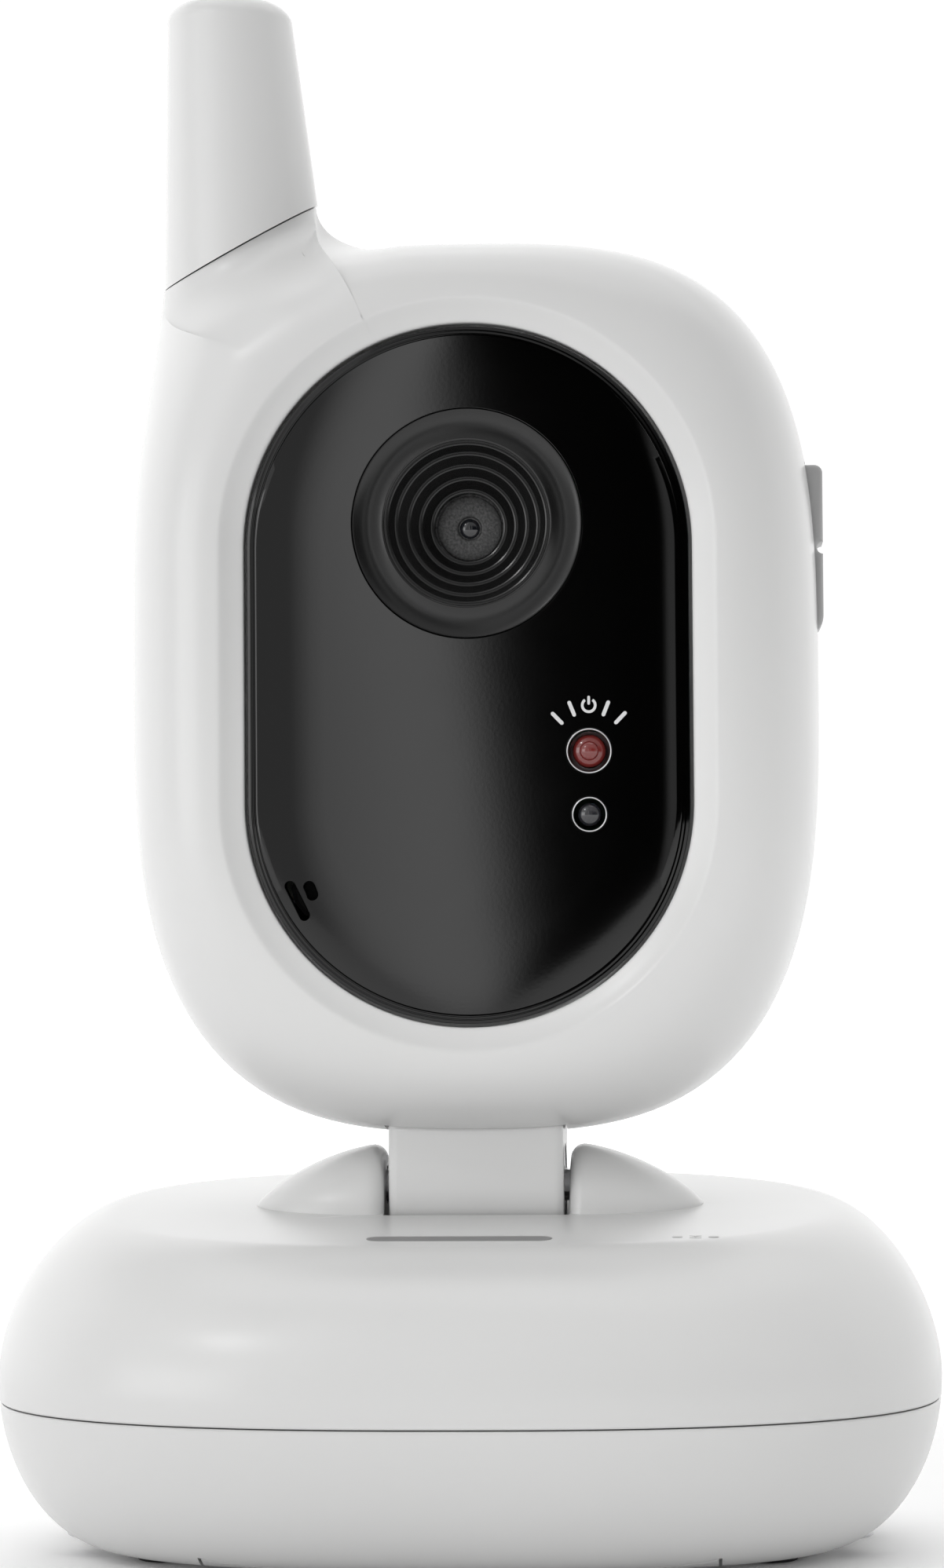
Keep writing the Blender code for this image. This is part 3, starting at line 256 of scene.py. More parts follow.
def cylinder_form(radius, length, origin, axis="+Z", sides=48):
    """A cylinder that starts at origin and runs along the axis."""
    return turned_form([(0, length), (radius, length), (radius, 0), (0, 0)], origin, axis, sides)


def box_form(low, high):
    """A box between two corners."""
    rings = [[(low[0], low[1], z), (high[0], low[1], z), (high[0], high[1], z),
              (low[0], high[1], z)] for z in (low[2], high[2])]
    return loft_form(rings)


def make_object(name, *forms):
    """One mesh object, in metres, from one or more closed forms that stay apart."""
    mesh = bpy.data.meshes.new(name)
    shape = bmesh.new()
    for points, faces in forms:
        verts = [shape.verts.new(Vector(point) * MM) for point in points]
        for face in faces:
            shape.faces.new([verts[i] for i in face])
    bmesh.ops.recalc_face_normals(shape, faces=shape.faces)
    shape.to_mesh(mesh)
    shape.free()
    obj = bpy.data.objects.new(name, mesh)
    bpy.context.scene.collection.objects.link(obj)
    return obj


def combine(obj, operation, *forms):
    """Cut forms out of an object, join them to it, or keep only what lies in them."""
    other = make_object("cutter", *forms)
    modifier = obj.modifiers.new("combine", "BOOLEAN")
    modifier.operation = operation
    modifier.object = other
    bpy.context.view_layer.update()
    graph = bpy.context.evaluated_depsgraph_get()
    mesh = bpy.data.meshes.new_from_object(obj.evaluated_get(graph))
    obj.modifiers.clear()
    obj.data = mesh
    bpy.data.objects.remove(other)


def smooth(obj, degrees=32):
    """Shade a piece smooth, except over edges sharper than an angle."""
    obj.data.shade_smooth()
    obj.data.set_sharp_from_angle(angle=math.radians(degrees))


def settle(obj, body, slot, *nodes):
    """Finish a piece: smooth it, give it its slot's material and set it on its body."""
    smooth(obj)
    obj.data.materials.clear()
    obj.data.materials.append(FINISHES[slot])
    if body != "base":
        obj.location.x = HEAD_X * MM
    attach(obj, body)
    if nodes:
        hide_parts(*nodes)


# ---------------- finishes

def set_inputs(node, inputs):
    """Give a node's inputs their values, or links from the outputs that feed them."""
    for name, value in inputs.items():
        if isinstance(value, bpy.types.NodeSocket):
            node.id_data.links.new(value, node.inputs[name])
        else:
            node.inputs[name].default_value = value


def add_node(tree, kind, inputs, **settings):
    """A new shader node with its settings and inputs."""
    node = tree.nodes.new("ShaderNode" + kind)
    for name, value in settings.items():
        setattr(node, name, value)
    set_inputs(node, inputs)
    return node


def link_noise(tree, scale, detail):
    """Noise over the object's own space, with scale in millimetres; returns its output."""
    place = add_node(tree, "TexCoord", {}).outputs["Object"]
    inputs = {"Vector": place, "Scale": 1 / (scale * MM), "Detail": detail}
    return add_node(tree, "TexNoise", inputs).outputs["Fac"]


def link_range(tree, source, low, high, start=0.35, end=0.65):
    """Map a value from start..end to low..high; returns the output."""
    inputs = {"Value": source, "From Min": start, "From Max": end, "To Min": low, "To Max": high}
    return add_node(tree, "MapRange", inputs).outputs["Result"]


def moulded(name, colour, roughness, grain, depth, shade=0.03, spread=0.06, wear=0.06,
            metallic=0.0, specular=0.5, coat=0.0, patch=9.0):
    """A moulded or pressed surface.

    grain and depth are the size and height of its texture, and patch the size of the areas
    over which its colour varies, in millimetres. shade is how much its colour varies, spread
    how much its roughness does, and wear how far its edges lighten.
    """
    material = bpy.data.materials.new(name)
    material.use_nodes = True
    tree = material.node_tree
    dark = (*[c * (1 - shade) for c in colour], 1.0)
    light = (*[min(1.0, c * (1 + shade)) for c in colour], 1.0)
    worn = (*[min(1.0, c * (1 + 2 * wear) + wear * 0.2) for c in colour], 1.0)
    patches = link_range(tree, link_noise(tree, patch, 3.0), 0.0, 1.0)
    tint = add_node(tree, "Mix", {"Factor": patches, "A": dark, "B": light}, data_type="RGBA")
    pointed = add_node(tree, "NewGeometry", {}).outputs["Pointiness"]
    edges = link_range(tree, pointed, 0.0, 1.0, 0.5, 0.6)
    edged = add_node(tree, "Mix", {"Factor": edges, "A": tint.outputs["Result"], "B": worn},
                     data_type="RGBA")
    smudged = add_node(tree, "Mix", {"Factor": link_noise(tree, 3.5, 1.0),
                                     "A": roughness - spread, "B": roughness + spread})
    bump = add_node(tree, "Bump", {"Height": link_noise(tree, grain, 3.0),
                                   "Strength": 1.0, "Distance": depth * MM})
    set_inputs(tree.nodes["Principled BSDF"], {
        "Base Color": edged.outputs["Result"],
        "Roughness": smudged.outputs["Result"],
        "Normal": bump.outputs["Normal"],
        "Metallic": metallic,
        "Specular IOR Level": specular,
        "Coat Weight": coat,
        "Coat Roughness": 0.08,
    })
    return material


def make_finishes():
    """The finish of every material slot."""
    finishes = {
        "white_shell": moulded("satin_white_plastic", (0.655, 0.655, 0.652), 0.27, 0.25, 0.0016,
                               shade=0.003, spread=0.004, wear=0.0),
        "black_window": moulded("window_plastic", (0.0006,) * 3, 0.05, 0.35, 0.0003, shade=0.1,
                                spread=0.005, wear=0.0),
        "black_gloss": moulded("polished_black_plastic", (0.006,) * 3, 0.22, 0.25, 0.0008,
                               shade=0.1, spread=0.01, wear=0.0),
        "black_matte": moulded("grained_black_plastic", (0.045,) * 3, 0.5, 0.2, 0.06, shade=0.75,
                               spread=0.1, wear=0.0, patch=0.22),
        "grey_button": moulded("silver_grey_plastic", (0.36,) * 3, 0.42, 0.20, 0.006, shade=0.04,
                               spread=0.05),
        "green_board": moulded("solder_mask", (0.03, 0.17, 0.07), 0.35, 0.6, 0.004, shade=0.25,
                               spread=0.1, coat=0.3),
        "steel": moulded("plated_steel", (0.62, 0.62, 0.63), 0.28, 0.18, 0.002, shade=0.08,
                         spread=0.08, metallic=1.0),
        "brass": moulded("brass_rod", (0.72, 0.53, 0.25), 0.28, 0.18, 0.002, shade=0.08,
                         spread=0.08, metallic=1.0),
        "cell_sleeve": moulded("cell_sleeve_film", (0.12, 0.25, 0.42), 0.3, 0.8, 0.004,
                               shade=0.1, spread=0.05, coat=0.4),
        "black_rubber": moulded("foot_rubber", (0.03,) * 3, 0.8, 0.25, 0.02, shade=0.2,
                                spread=0.08, wear=0.02),
    }
    finishes["red_lens"] = lens_finish("red_lens_plastic", (0.16, 0.022, 0.02), 0.3)
    finishes["dark_lens"] = lens_finish("dark_lens_plastic", (0.02, 0.02, 0.024), 0.2)
    finishes["optical_glass"] = lens_finish("coated_glass", (0.008, 0.009, 0.012), 0.1)
    return finishes


def lens_finish(name, colour, glow_through):
    """A clear tinted plastic or glass with a polished face and a soft depth of colour."""
    material = moulded(name, colour, 0.12, 0.5, 0.0015, shade=0.15, spread=0.03, wear=0.0,
                       coat=0.7)
    set_inputs(material.node_tree.nodes["Principled BSDF"], {
        "Subsurface Weight": glow_through,
        "Subsurface Scale": 0.6 * MM,
        "Subsurface Radius": (1.0, 0.4, 0.35),
    })
    return material


# ---------------- base

def superellipse(half_x, half_y, power, angle):
    """The point of a superellipse that lies in a direction from its middle."""
    reach_x = (abs(math.cos(angle)) / half_x) ** power
    reach_y = (abs(math.sin(angle)) / half_y) ** power
    radius = (reach_x + reach_y) ** (-1 / power)
    return radius * math.cos(angle), radius * math.sin(angle)


def base_ring(turn, upward, inset, share=1.0):
    """One ring of the base: turn runs from 0 at its widest to 90 degrees at the flat.

    inset sets the ring inside the outer surface, and share shrinks it towards the middle.
    """
    power = BASE_TOP_POWER if upward else BASE_BOTTOM_POWER
    reach = BASE_TOP_INSET if upward else BASE_BOTTOM_INSET
    height = BASE_TOP_Z - BASE_WIDEST_Z if upward else BASE_WIDEST_Z - BASE_BOTTOM_Z
    rise = math.sin(turn) ** (2 / power)
    narrowing = 1 - math.cos(turn) ** (2 / power)
    level = BASE_WIDEST_Z + (1 if upward else -1) * (height - inset) * rise
    half_width = BASE_HALF_WIDTH - inset - (reach[0] - inset) * narrowing
    half_depth = BASE_HALF_DEPTH - inset - (reach[1] - inset) * narrowing
    slope = BASE_TOP_RISE * rise ** 2 if upward else 0.0
    ring = []
    for i in range(BASE_SIDES):
        angle = 2 * math.pi * i / BASE_SIDES
        x, y = superellipse(half_width * share, half_depth * share, BASE_PLAN_POWER, angle)
        ring.append((x, y, level + slope * y))
    return ring


def lower_turn(level, inset):
    """The turn of the ring at a level a little below the widest one."""
    height = BASE_WIDEST_Z - BASE_BOTTOM_Z - inset
    return math.asin(((BASE_WIDEST_Z - level) / height) ** (BASE_BOTTOM_POWER / 2))


def base_shell_form(upward):
    """A casing half: its flat, its rounding, the rounded edge at the parting and the inside."""
    side = 1 if upward else -1
    edge = BASE_PARTING_Z + side * SEAM / 2
    lip = edge + side * BASE_EDGE
    outer = [base_ring(lower_turn(edge, BASE_EDGE), False, BASE_EDGE),
             base_ring(lower_turn(lip, 0.0), False, 0.0)]
    inner = [base_ring(lower_turn(edge, WALL), False, WALL)]
    start = 0.0 if upward else lower_turn(lip, 0.0)
    rows = 26
    for k in range(0 if upward else 1, rows + 1):
        turn = min(math.pi / 2, start + (math.pi / 2 - start) * k / rows)
        outer.append(base_ring(turn, upward, 0.0))
        if k and k % 4 == 2:
            inner.append(base_ring(turn, upward, WALL))
    outer += [base_ring(math.pi / 2, upward, 0.0, share) for share in (0.97, 0.8, 0.5, 0.2)]
    inner.append(base_ring(math.pi / 2, upward, WALL))
    return loft_form(inner[::-1] + outer)


def base_top_level(y):
    """Height of the base's top face."""
    return BASE_TOP_Z + BASE_TOP_RISE * y


def ear_form(side):
    """A fin that carries the hinge pin and sinks away sideways into the top face."""
    stations = [0.0, 0.004, 0.013, 0.03, 0.05, 0.075, 0.1]
    stations += [math.sin(math.pi / 2 * k / 34) for k in range(3, 34)]
    stations.append(0.9995)
    root = BASE_TOP_Z - WALL * 0.7
    rings = []
    for station in stations:
        fade = (1 - station ** 1.6) ** 0.8
        half_depth = EAR_HALF_DEPTH * (1 - station ** 2) ** 0.5
        short = max(0.0, EAR_EDGE - EAR_LENGTH * station)
        drop = EAR_EDGE - (EAR_EDGE ** 2 - short ** 2) ** 0.5
        x = HEAD_X + side * (EAR_INNER_X + EAR_LENGTH * station)
        ring = []
        for angle in evenly(0.0, math.pi, 40):
            y = HINGE_Y + (half_depth - drop) * math.cos(angle)
            z = base_top_level(y) + (EAR_HEIGHT * fade - drop) * math.sin(angle)
            ring.append((x, y, z))
        ring += [(x, ring[-1][1], root), (x, ring[0][1], root)]
        rings.append(ring)
    return loft_form(rings)


def trough_form():
    """The room that the neck sweeps: an arc below, flared sides above."""
    back = math.radians(TILT_BACK)
    front = math.radians(TILT_FORWARD)
    radius = TROUGH_RADIUS
    outline = [(HINGE_Y + radius * math.cos(angle), HINGE_Z + radius * math.sin(angle))
               for angle in evenly(-back, front - math.pi, 48)]
    flare = 12.0
    rear_y, rear_z = outline[0]
    near_y, near_z = outline[-1]
    outline.append((near_y - flare * math.sin(front), near_z + flare * math.cos(front)))
    outline.append((rear_y + flare * math.sin(back), rear_z + flare * math.cos(back)))
    return loft_form([[(HEAD_X + x, y, z) for y, z in outline]
                      for x in (-EAR_INNER_X, EAR_INNER_X)])


def make_upper_shell():
    """Upper casing with ears, trough and the hole for the power inlet."""
    shell = make_object("base_top_casing", base_shell_form(True))
    half_block = EAR_INNER_X + HINGE_BLOCK_WALL
    block = box_form((HEAD_X - half_block, HINGE_Y - 9.0, HINGE_BLOCK_FLOOR_Z),
                     (HEAD_X + half_block, HINGE_Y + 9.6, BASE_TOP_Z - 1.2))
    combine(shell, "UNION", block)
    combine(shell, "UNION", ear_form(-1), ear_form(1))
    jack = middle("dc_jack")
    flared = [(0, 14), (5.0, 14), (5.0, 4.6), (4.3, 4.0), (4.3, 0), (0, 0)]
    jack_hole = turned_form(flared, (jack.x, 25.0, jack.z), "+Y", 72)
    combine(shell, "DIFFERENCE", trough_form(), jack_hole)
    pin_half_length = half_size("hinge_pin").x + GAP
    bore = cylinder_form(PIN_RADIUS + GAP, 2 * pin_half_length,
                         (middle("hinge_pin").x - pin_half_length, HINGE_Y, HINGE_Z), "+X")
    combine(shell, "DIFFERENCE", bore)
    settle(shell, "base", "white_shell", "base_upper_shell")


def screw_pockets(names, rim):
    """Stepped holes for screws that go up into the base; the casing's face is at rim."""
    shank = SCREW_RADIUS + GAP
    head = SCREW_HEAD_RADIUS + GAP
    forms = []
    for name in names:
        x, y, _ = middle(name)
        seat = corners(name)[0].z + SCREW_HEAD_HEIGHT + GAP
        profile = [(0, 9), (shank, 9), (shank, seat), (head, seat), (head, rim + 0.3),
                   (head + 0.5, rim - 0.2), (head + 0.5, -1), (0, -1)]
        forms.append(turned_form(profile, (x, y, 0), sides=40))
    return forms


def door_box(inset):
    """The battery door's opening, smaller all round by an inset."""
    low, high = corners("battery_door")
    near = GAP - inset
    return box_form((low.x - near, low.y - near, -5.0), (high.x + near, high.y + near, 6.0))


def make_lower_shell():
    """Lower casing with the battery opening, the feet's pockets and the screw holes."""
    shell = make_object("base_bottom_casing", base_shell_form(False))
    pockets = []
    for name in FEET:
        x, y, _ = middle(name)
        pockets.append(cylinder_form(half_size(name).x + GAP, corners(name)[1].z + GAP + 1.0,
                                     (x, y, -1.0)))
    combine(shell, "DIFFERENCE", door_box(0.0), *pockets)
    combine(shell, "DIFFERENCE", *screw_pockets(BASE_SCREWS, 1.0))
    settle(shell, "base", "white_shell", "base_lower_shell")


def make_door():
    """The battery door, with a sunk hole for its screw."""
    door = make_object("battery_cover", base_shell_form(False))
    combine(door, "INTERSECT", door_box(GAP))
    combine(door, "DIFFERENCE", *screw_pockets(DOOR_SCREWS, 0.8))
    settle(door, "base", "white_shell", "battery_door")


def make_feet():
    """Rubber feet with a rounded edge."""
    for name in FEET:
        radius, _, half_height = half_size(name)
        profile = [(0, 2 * half_height), (radius, 2 * half_height)]
        profile += [(radius - inward, rise) for rise, inward in quarter_round(0.35, 6)]
        profile += [(radius * 0.6, 0.0), (0, 0.0)]
        x, y, z = middle(name)
        piece = make_object(name.replace("rubber_", ""),
                            turned_form(profile, (x, y, z - half_height), sides=56))
        settle(piece, "base", "black_rubber", name)


def make_jack():
    """The power inlet: a block inside, a round mouth with a lip and a centre pin."""
    low, high = corners("dc_jack")
    jack = middle("dc_jack")
    tube_start = 24.0
    mouth = high.y - tube_start
    profile = [(0, mouth - 1.3), (0.75, mouth - 1.3), (1.0, mouth - 1.6), (1.0, -8.0),
               (2.9, -8.0), (2.9, mouth - 0.3), (3.2, mouth), (3.6, mouth), (3.9, mouth - 0.3),
               (3.9, -1.2), (3.4, -1.2), (3.4, -9.0), (0, -9.0)]
    tube = make_object("power_inlet",
                       turned_form(profile, (jack.x, tube_start, jack.z), "+Y", 72))
    block = make_object("power_inlet_block", box_form(low, (high.x, tube_start - 1.0, high.z)))
    combine(block, "DIFFERENCE", cylinder_form(4.0, 20.0, (jack.x, low.y + 0.8, jack.z), "+Y"))
    settle(tube, "base", "black_matte", "dc_jack")
    settle(block, "base", "black_matte")


def screw_profile(length):
    """Half section of a screw: a pan head at the top and a ribbed shank down to its point."""
    pitch = 0.7
    profile = dome(SCREW_HEAD_RADIUS, 0.55, 8)
    profile += [(SCREW_HEAD_RADIUS, -SCREW_HEAD_HEIGHT), (SCREW_RADIUS, -SCREW_HEAD_HEIGHT)]
    for k in range(int((length - 2.0) / pitch)):
        profile += [(SCREW_RADIUS * 0.8, -1.3 - pitch * (k + 0.5)),
                    (SCREW_RADIUS, -1.3 - pitch * (k + 1))]
    profile.append((0, -length))
    return profile


def make_screws():
    """The screws that show, each with a cross recess in its head."""
    arm = 1.25
    half_slit = 0.24
    for names, axis, body in ((HEAD_SCREWS, "+Y", "head"),
                              (BASE_SCREWS + DOOR_SCREWS, "-Z", "base")):
        for name in names:
            low, high = corners(name)
            centre = middle(name)
            if axis == "+Y":
                length = high.y - low.y
                origin = (centre.x - HEAD_X, high.y, centre.z)
            else:
                length = high.z - low.z
                origin = (centre.x, centre.y, low.z)
            piece = make_object(name + "_fine",
                                turned_form(screw_profile(length), (0, 0, 0), sides=40))
            for x, y in ((arm, half_slit), (half_slit, arm)):
                combine(piece, "DIFFERENCE", box_form((-x, -y, -0.75), (x, y, 1.0)))
            piece.data.transform(axis_matrix(axis, Vector(origin) * MM))
            settle(piece, body, "steel", name)


# ---------------- head

def bezier(start, start_handle, end_handle, end, fraction):
    """A point on a cubic curve through the plane."""
    rest = 1 - fraction
    weights = (rest ** 3, 3 * rest ** 2 * fraction, 3 * rest * fraction ** 2, fraction ** 3)
    handles = (start, start_handle, end_handle, end)
    return tuple(sum(w * p[k] for w, p in zip(weights, handles)) for k in range(2))


def head_point(angle):
    """The head's outline, seen from the front, apart from its antenna corner."""
    power = HEAD_TOP_POWER if math.sin(angle) > 0 else HEAD_BOTTOM_POWER
    x, z = superellipse(HEAD_HALF_WIDTH, HEAD_HALF_HEIGHT, power, angle)
    return x, HEAD_CENTRE_Z + z


def head_outline(inset):
    """Points and shares, clockwise from the right end of the antenna joint to its left end.

    A share says how far the surface sets off down the antenna instead of across the parting.
    """
    right_curve = (CUT_RIGHT, (-14.4, 121.4), (-11.5, 120.05), head_point(FILLET_END))
    points = []
    shares = []
    for k in range(BLEND_SIDES):
        points.append(bezier(*right_curve, k / BLEND_SIDES))
        shares.append(0.5 * (1 - k / BLEND_SIDES))
    for angle in evenly(FILLET_END, LEFT_START - 2 * math.pi, ROUND_SIDES):
        points.append(head_point(angle))
        shares.append(0.0)
    start = points[-1]
    left_curve = (start, (start[0] - 0.2, 100.0), (-30.2, 107.6), CUT_LEFT)
    for k in range(1, BLEND_SIDES + 1):
        points.append(bezier(*left_curve, k / BLEND_SIDES))
        shares.append(0.5 * k / BLEND_SIDES)
    across = (Vector(CUT_RIGHT) - Vector(CUT_LEFT)).normalized()
    moved = [Vector(CUT_RIGHT) - across * inset]
    for before, point, after in zip(points, points[1:], points[2:]):
        along = (Vector(after) - Vector(before)).normalized()
        moved.append(Vector(point) + Vector((along.y, -along.x)) * inset)
    moved.append(Vector(CUT_LEFT) + across * inset)
    return moved, shares


def stadium_nearest(point, half_width):
    """The nearest point (x, z) of a round-ended slot's outline, and the way out of it there."""
    x, z = point
    core = min(max(z, WINDOW_CENTRE_Z - WINDOW_STRAIGHT), WINDOW_CENTRE_Z + WINDOW_STRAIGHT)
    out = Vector((x, z - core)).normalized()
    return Vector((0.0, core)) + out * half_width, out


def head_boundary(side, inset):
    """Where a half shell starts: (place, direction it sets off in, its point from the front).

    side is -1 for the front half and +1 for the back. The outline lies beside the parting
    plane, and half an ellipse crosses the antenna's sloping joint, just below it.
    """
    across = Vector((0.0, side, 0.0))
    down = Vector((math.sin(ANTENNA_LEAN), 0.0, -math.cos(ANTENNA_LEAN)))
    outline, shares = head_outline(inset)
    edge_y = HEAD_PARTING_Y + side * SEAM / 2
    boundary = []
    for point, share in zip(outline, shares):
        start = (across * (1 - share) + down * share).normalized()
        boundary.append((Vector((point.x, edge_y, point.y)), start, point))
    left = boundary[-1][0]
    right = boundary[0][0]
    centre = (left + right) / 2
    deepest = Vector((0.0, side, side * JOINT_TILT)) * (CUT_HALF_DEPTH - SEAM / 2 - inset)
    last = len(outline) - 1
    for k in range(1, CUT_SIDES):
        angle = math.pi * k / CUT_SIDES
        place = centre + (left - centre) * math.cos(angle) + deepest * math.sin(angle)
        near_end = min(k, CUT_SIDES - k) / CUT_SIDES * 8 / 3
        share = 1 - 0.5 * max(0.0, 1 - near_end)
        start = (across * (1 - share) + down * share).normalized()
        boundary.append((place, start, outline[-1].lerp(outline[0], k / CUT_SIDES)))
    slope = (right - left).normalized()
    below = Vector((slope.z, 0.0, -slope.x)) * SEAM / 2
    return [(place + below if index >= last or index == 0 else place, start, point)
            for index, (place, start, point) in enumerate(boundary)]


def head_patch(side, inner_half_width, level, inset, rows):
    """Rings that roll over from the parting plane to a flat face at y = level."""
    rings = [[] for _ in range(rows + 1)]
    for place, start, point in head_boundary(side, inset):
        flat_end, flat_out = stadium_nearest(point, inner_half_width)
        end = Vector((flat_end.x, level, flat_end.y))
        out = Vector((flat_out.x, 0.0, flat_out.y))
        depth = abs(level - HEAD_PARTING_Y)
        inward = math.hypot(place.x - end.x, place.z - end.z)
        leave = start * HEAD_ROUNDING * (depth * abs(start.y) + inward * 0.6 * (1 - abs(start.y)))
        arrive = -out * HEAD_ROUNDING * inward
        for row in range(rows + 1):
            u = math.sin(math.pi / 2 * row / rows) ** 1.2
            value = (place * (2 * u ** 3 - 3 * u ** 2 + 1) + leave * (u ** 3 - 2 * u ** 2 + u)
                     + end * (3 * u ** 2 - 2 * u ** 3) + arrive * (u ** 3 - u ** 2))
            rings[row].append(value)
    return rings


def stadium_ring(side, half_width, level):
    """A round-ended slot's outline with the same points as the head's rings."""
    ring = []
    for _, _, point in head_boundary(side, 0.0):
        place, _ = stadium_nearest(point, half_width)
        ring.append(Vector((place.x, level, place.y)))
    return ring


def head_openings():
    """The holes that the neck and the rocker come out of."""
    half_x = NECK_HALF_WIDTH + GAP
    half_y = KNUCKLE_RADIUS + GAP
    neck = box_form((-half_x, HINGE_Y - half_y, 34.0), (half_x, HINGE_Y + half_y, 44.0))
    rocker = box_form((26.0, ROCKER_LOW.y - GAP, ROCKER_LOW.z - GAP),
                      (36.0, ROCKER_HIGH.y + GAP, ROCKER_HIGH.z + GAP))
    return neck, rocker


def make_front_shell():
    """Front casing: rounded rim, sloping band round the window and the window's seat."""
    seat = WINDOW_HALF_WIDTH + GAP
    rim = seat + RECESS_WIDTH
    ledge = WINDOW_BACK_Y + GAP
    outer = head_patch(-1, rim, HEAD_FRONT_Y, 0.0, HEAD_ROWS)
    band = ((0.14, 0.02), (0.26, 0.065), (0.38, 0.13), (0.55, 0.23), (0.8, 0.40), (1.2, 0.62),
            (1.6, 0.82), (1.95, 0.96), (2.15, 1.05), (2.26, 1.16), (RECESS_WIDTH, 1.32))
    for inward, down in band:
        outer.append(stadium_ring(-1, rim - inward, HEAD_FRONT_Y + down))
    for half_width, level in ((seat, ledge), (seat - 1.6, ledge), (seat - 1.6, ledge + 1.4),
                              (seat + 1.9, ledge + 1.4)):
        outer.append(stadium_ring(-1, half_width, level))
    inner = head_patch(-1, seat + 2.5, HEAD_FRONT_Y + WALL, WALL, 6)
    shell = make_object("head_front_casing", loft_form(inner[::-1] + outer, True))
    combine(shell, "DIFFERENCE", *head_openings())
    settle(shell, "head", "white_shell", "head_front_shell")


def make_rear_shell():
    """Back casing: rounded rim and a flat back with deep screw holes."""
    outer = head_patch(1, REAR_FLAT_HALF_WIDTH, HEAD_REAR_Y, 0.0, HEAD_ROWS)
    for half_width in (REAR_FLAT_HALF_WIDTH - 0.5, REAR_FLAT_HALF_WIDTH * 0.7, 5.0, 1.0):
        outer.append(stadium_ring(1, half_width, HEAD_REAR_Y))
    inner = head_patch(1, REAR_FLAT_HALF_WIDTH, HEAD_REAR_Y - WALL, WALL, 6)
    shell = make_object("head_rear_casing", loft_form(inner[::-1] + outer))
    shank = SCREW_RADIUS + GAP
    head = SCREW_HEAD_RADIUS + GAP
    profile = [(0, 14), (head, 14), (head, 0), (shank, 0), (shank, -3), (0, -3)]
    wells = []
    bores = []
    for name in HEAD_SCREWS:
        x, _, z = middle(name)
        floor = corners(name)[1].y - SCREW_HEAD_HEIGHT - GAP
        wells.append(cylinder_form(head + 1.0, 5.0, (x - HEAD_X, floor - 1.4, z), "+Y"))
        bores.append(turned_form(profile, (x - HEAD_X, floor, z), "+Y", 56))
    combine(shell, "UNION", *wells)
    combine(shell, "DIFFERENCE", *bores, *head_openings())
    settle(shell, "head", "white_shell", "head_rear_shell")


def antenna_form(inset):
    """The antenna's leaning, tapering body, from its rounded crown down into the head."""
    lean_x, tip = ANTENNA_TOP
    crown = tip - inset
    radius = ANTENNA_TOP_RADIUS - inset
    profile = [(0, crown)]
    for angle in evenly(0.0, math.pi / 2, 22)[1:]:
        share = math.sin(angle)
        fall = ANTENNA_CROWN * (1 - (1 - share ** 3.2) ** 0.55)
        profile.append((radius * share, crown - fall))
    shoulder = crown - ANTENNA_CROWN
    foot = 108.0 - inset
    profile += [(radius + ANTENNA_TAPER * (shoulder - level), level)
                for level in evenly(shoulder, foot, 8)[1:]]
    profile.append((0, foot))
    points, faces = turned_form(profile, (0, HEAD_PARTING_Y, 0))
    leaning = [(x + lean_x + (tip - z) * math.tan(ANTENNA_LEAN), y, z) for x, y, z in points]
    return leaning, faces


def make_antenna():
    """The antenna's hollow cap, cut off along the sloping joint."""
    cap = make_object("antenna", antenna_form(0.0))
    across = Vector((CUT_RIGHT[0] - CUT_LEFT[0], 0.0, CUT_RIGHT[1] - CUT_LEFT[1]))
    centre = Vector((CUT_LEFT[0] + CUT_RIGHT[0], 0.0, CUT_LEFT[1] + CUT_RIGHT[1])) / 2
    slope = math.atan2(across.z, across.x)
    placement = Matrix.Translation(centre) @ Matrix.Rotation(-slope, 4, "Y")
    points, faces = box_form((-14.0, -12.0, -30.0), (14.0, 16.0, SEAM / 2))
    rise = JOINT_TILT * math.cos(slope)
    block = ([tuple(placement @ Vector((x, y, z + rise * (y - HEAD_PARTING_Y))))
              for x, y, z in points], faces)
    combine(cap, "DIFFERENCE", antenna_form(1.6))
    combine(cap, "DIFFERENCE", block)
    settle(cap, "head", "white_shell", "antenna_cap")


def slot_outline(ends, width):
    """A short slot's outline between two points of a plane."""
    (x1, z1), (x2, z2) = ends
    along = math.atan2(z2 - z1, x2 - x1)
    reach = (math.hypot(x2 - x1, z2 - z1) - width) / 2
    points = []
    for end in (1, -1):
        for angle in evenly(-math.pi / 2, math.pi / 2, 12):
            u = end * (reach + width / 2 * math.cos(angle))
            v = end * width / 2 * math.sin(angle)
            points.append(((x1 + x2) / 2 + u * math.cos(along) - v * math.sin(along),
                           (z1 + z2) / 2 + u * math.sin(along) + v * math.cos(along)))
    return points


def stadium_outline(half_width):
    """The window's round-ended outline at a half width."""
    return [(end * half_width * math.cos(angle),
             WINDOW_CENTRE_Z + end * (WINDOW_STRAIGHT + half_width * math.sin(angle)))
            for end in (1, -1) for angle in evenly(0.0, math.pi, 72)]


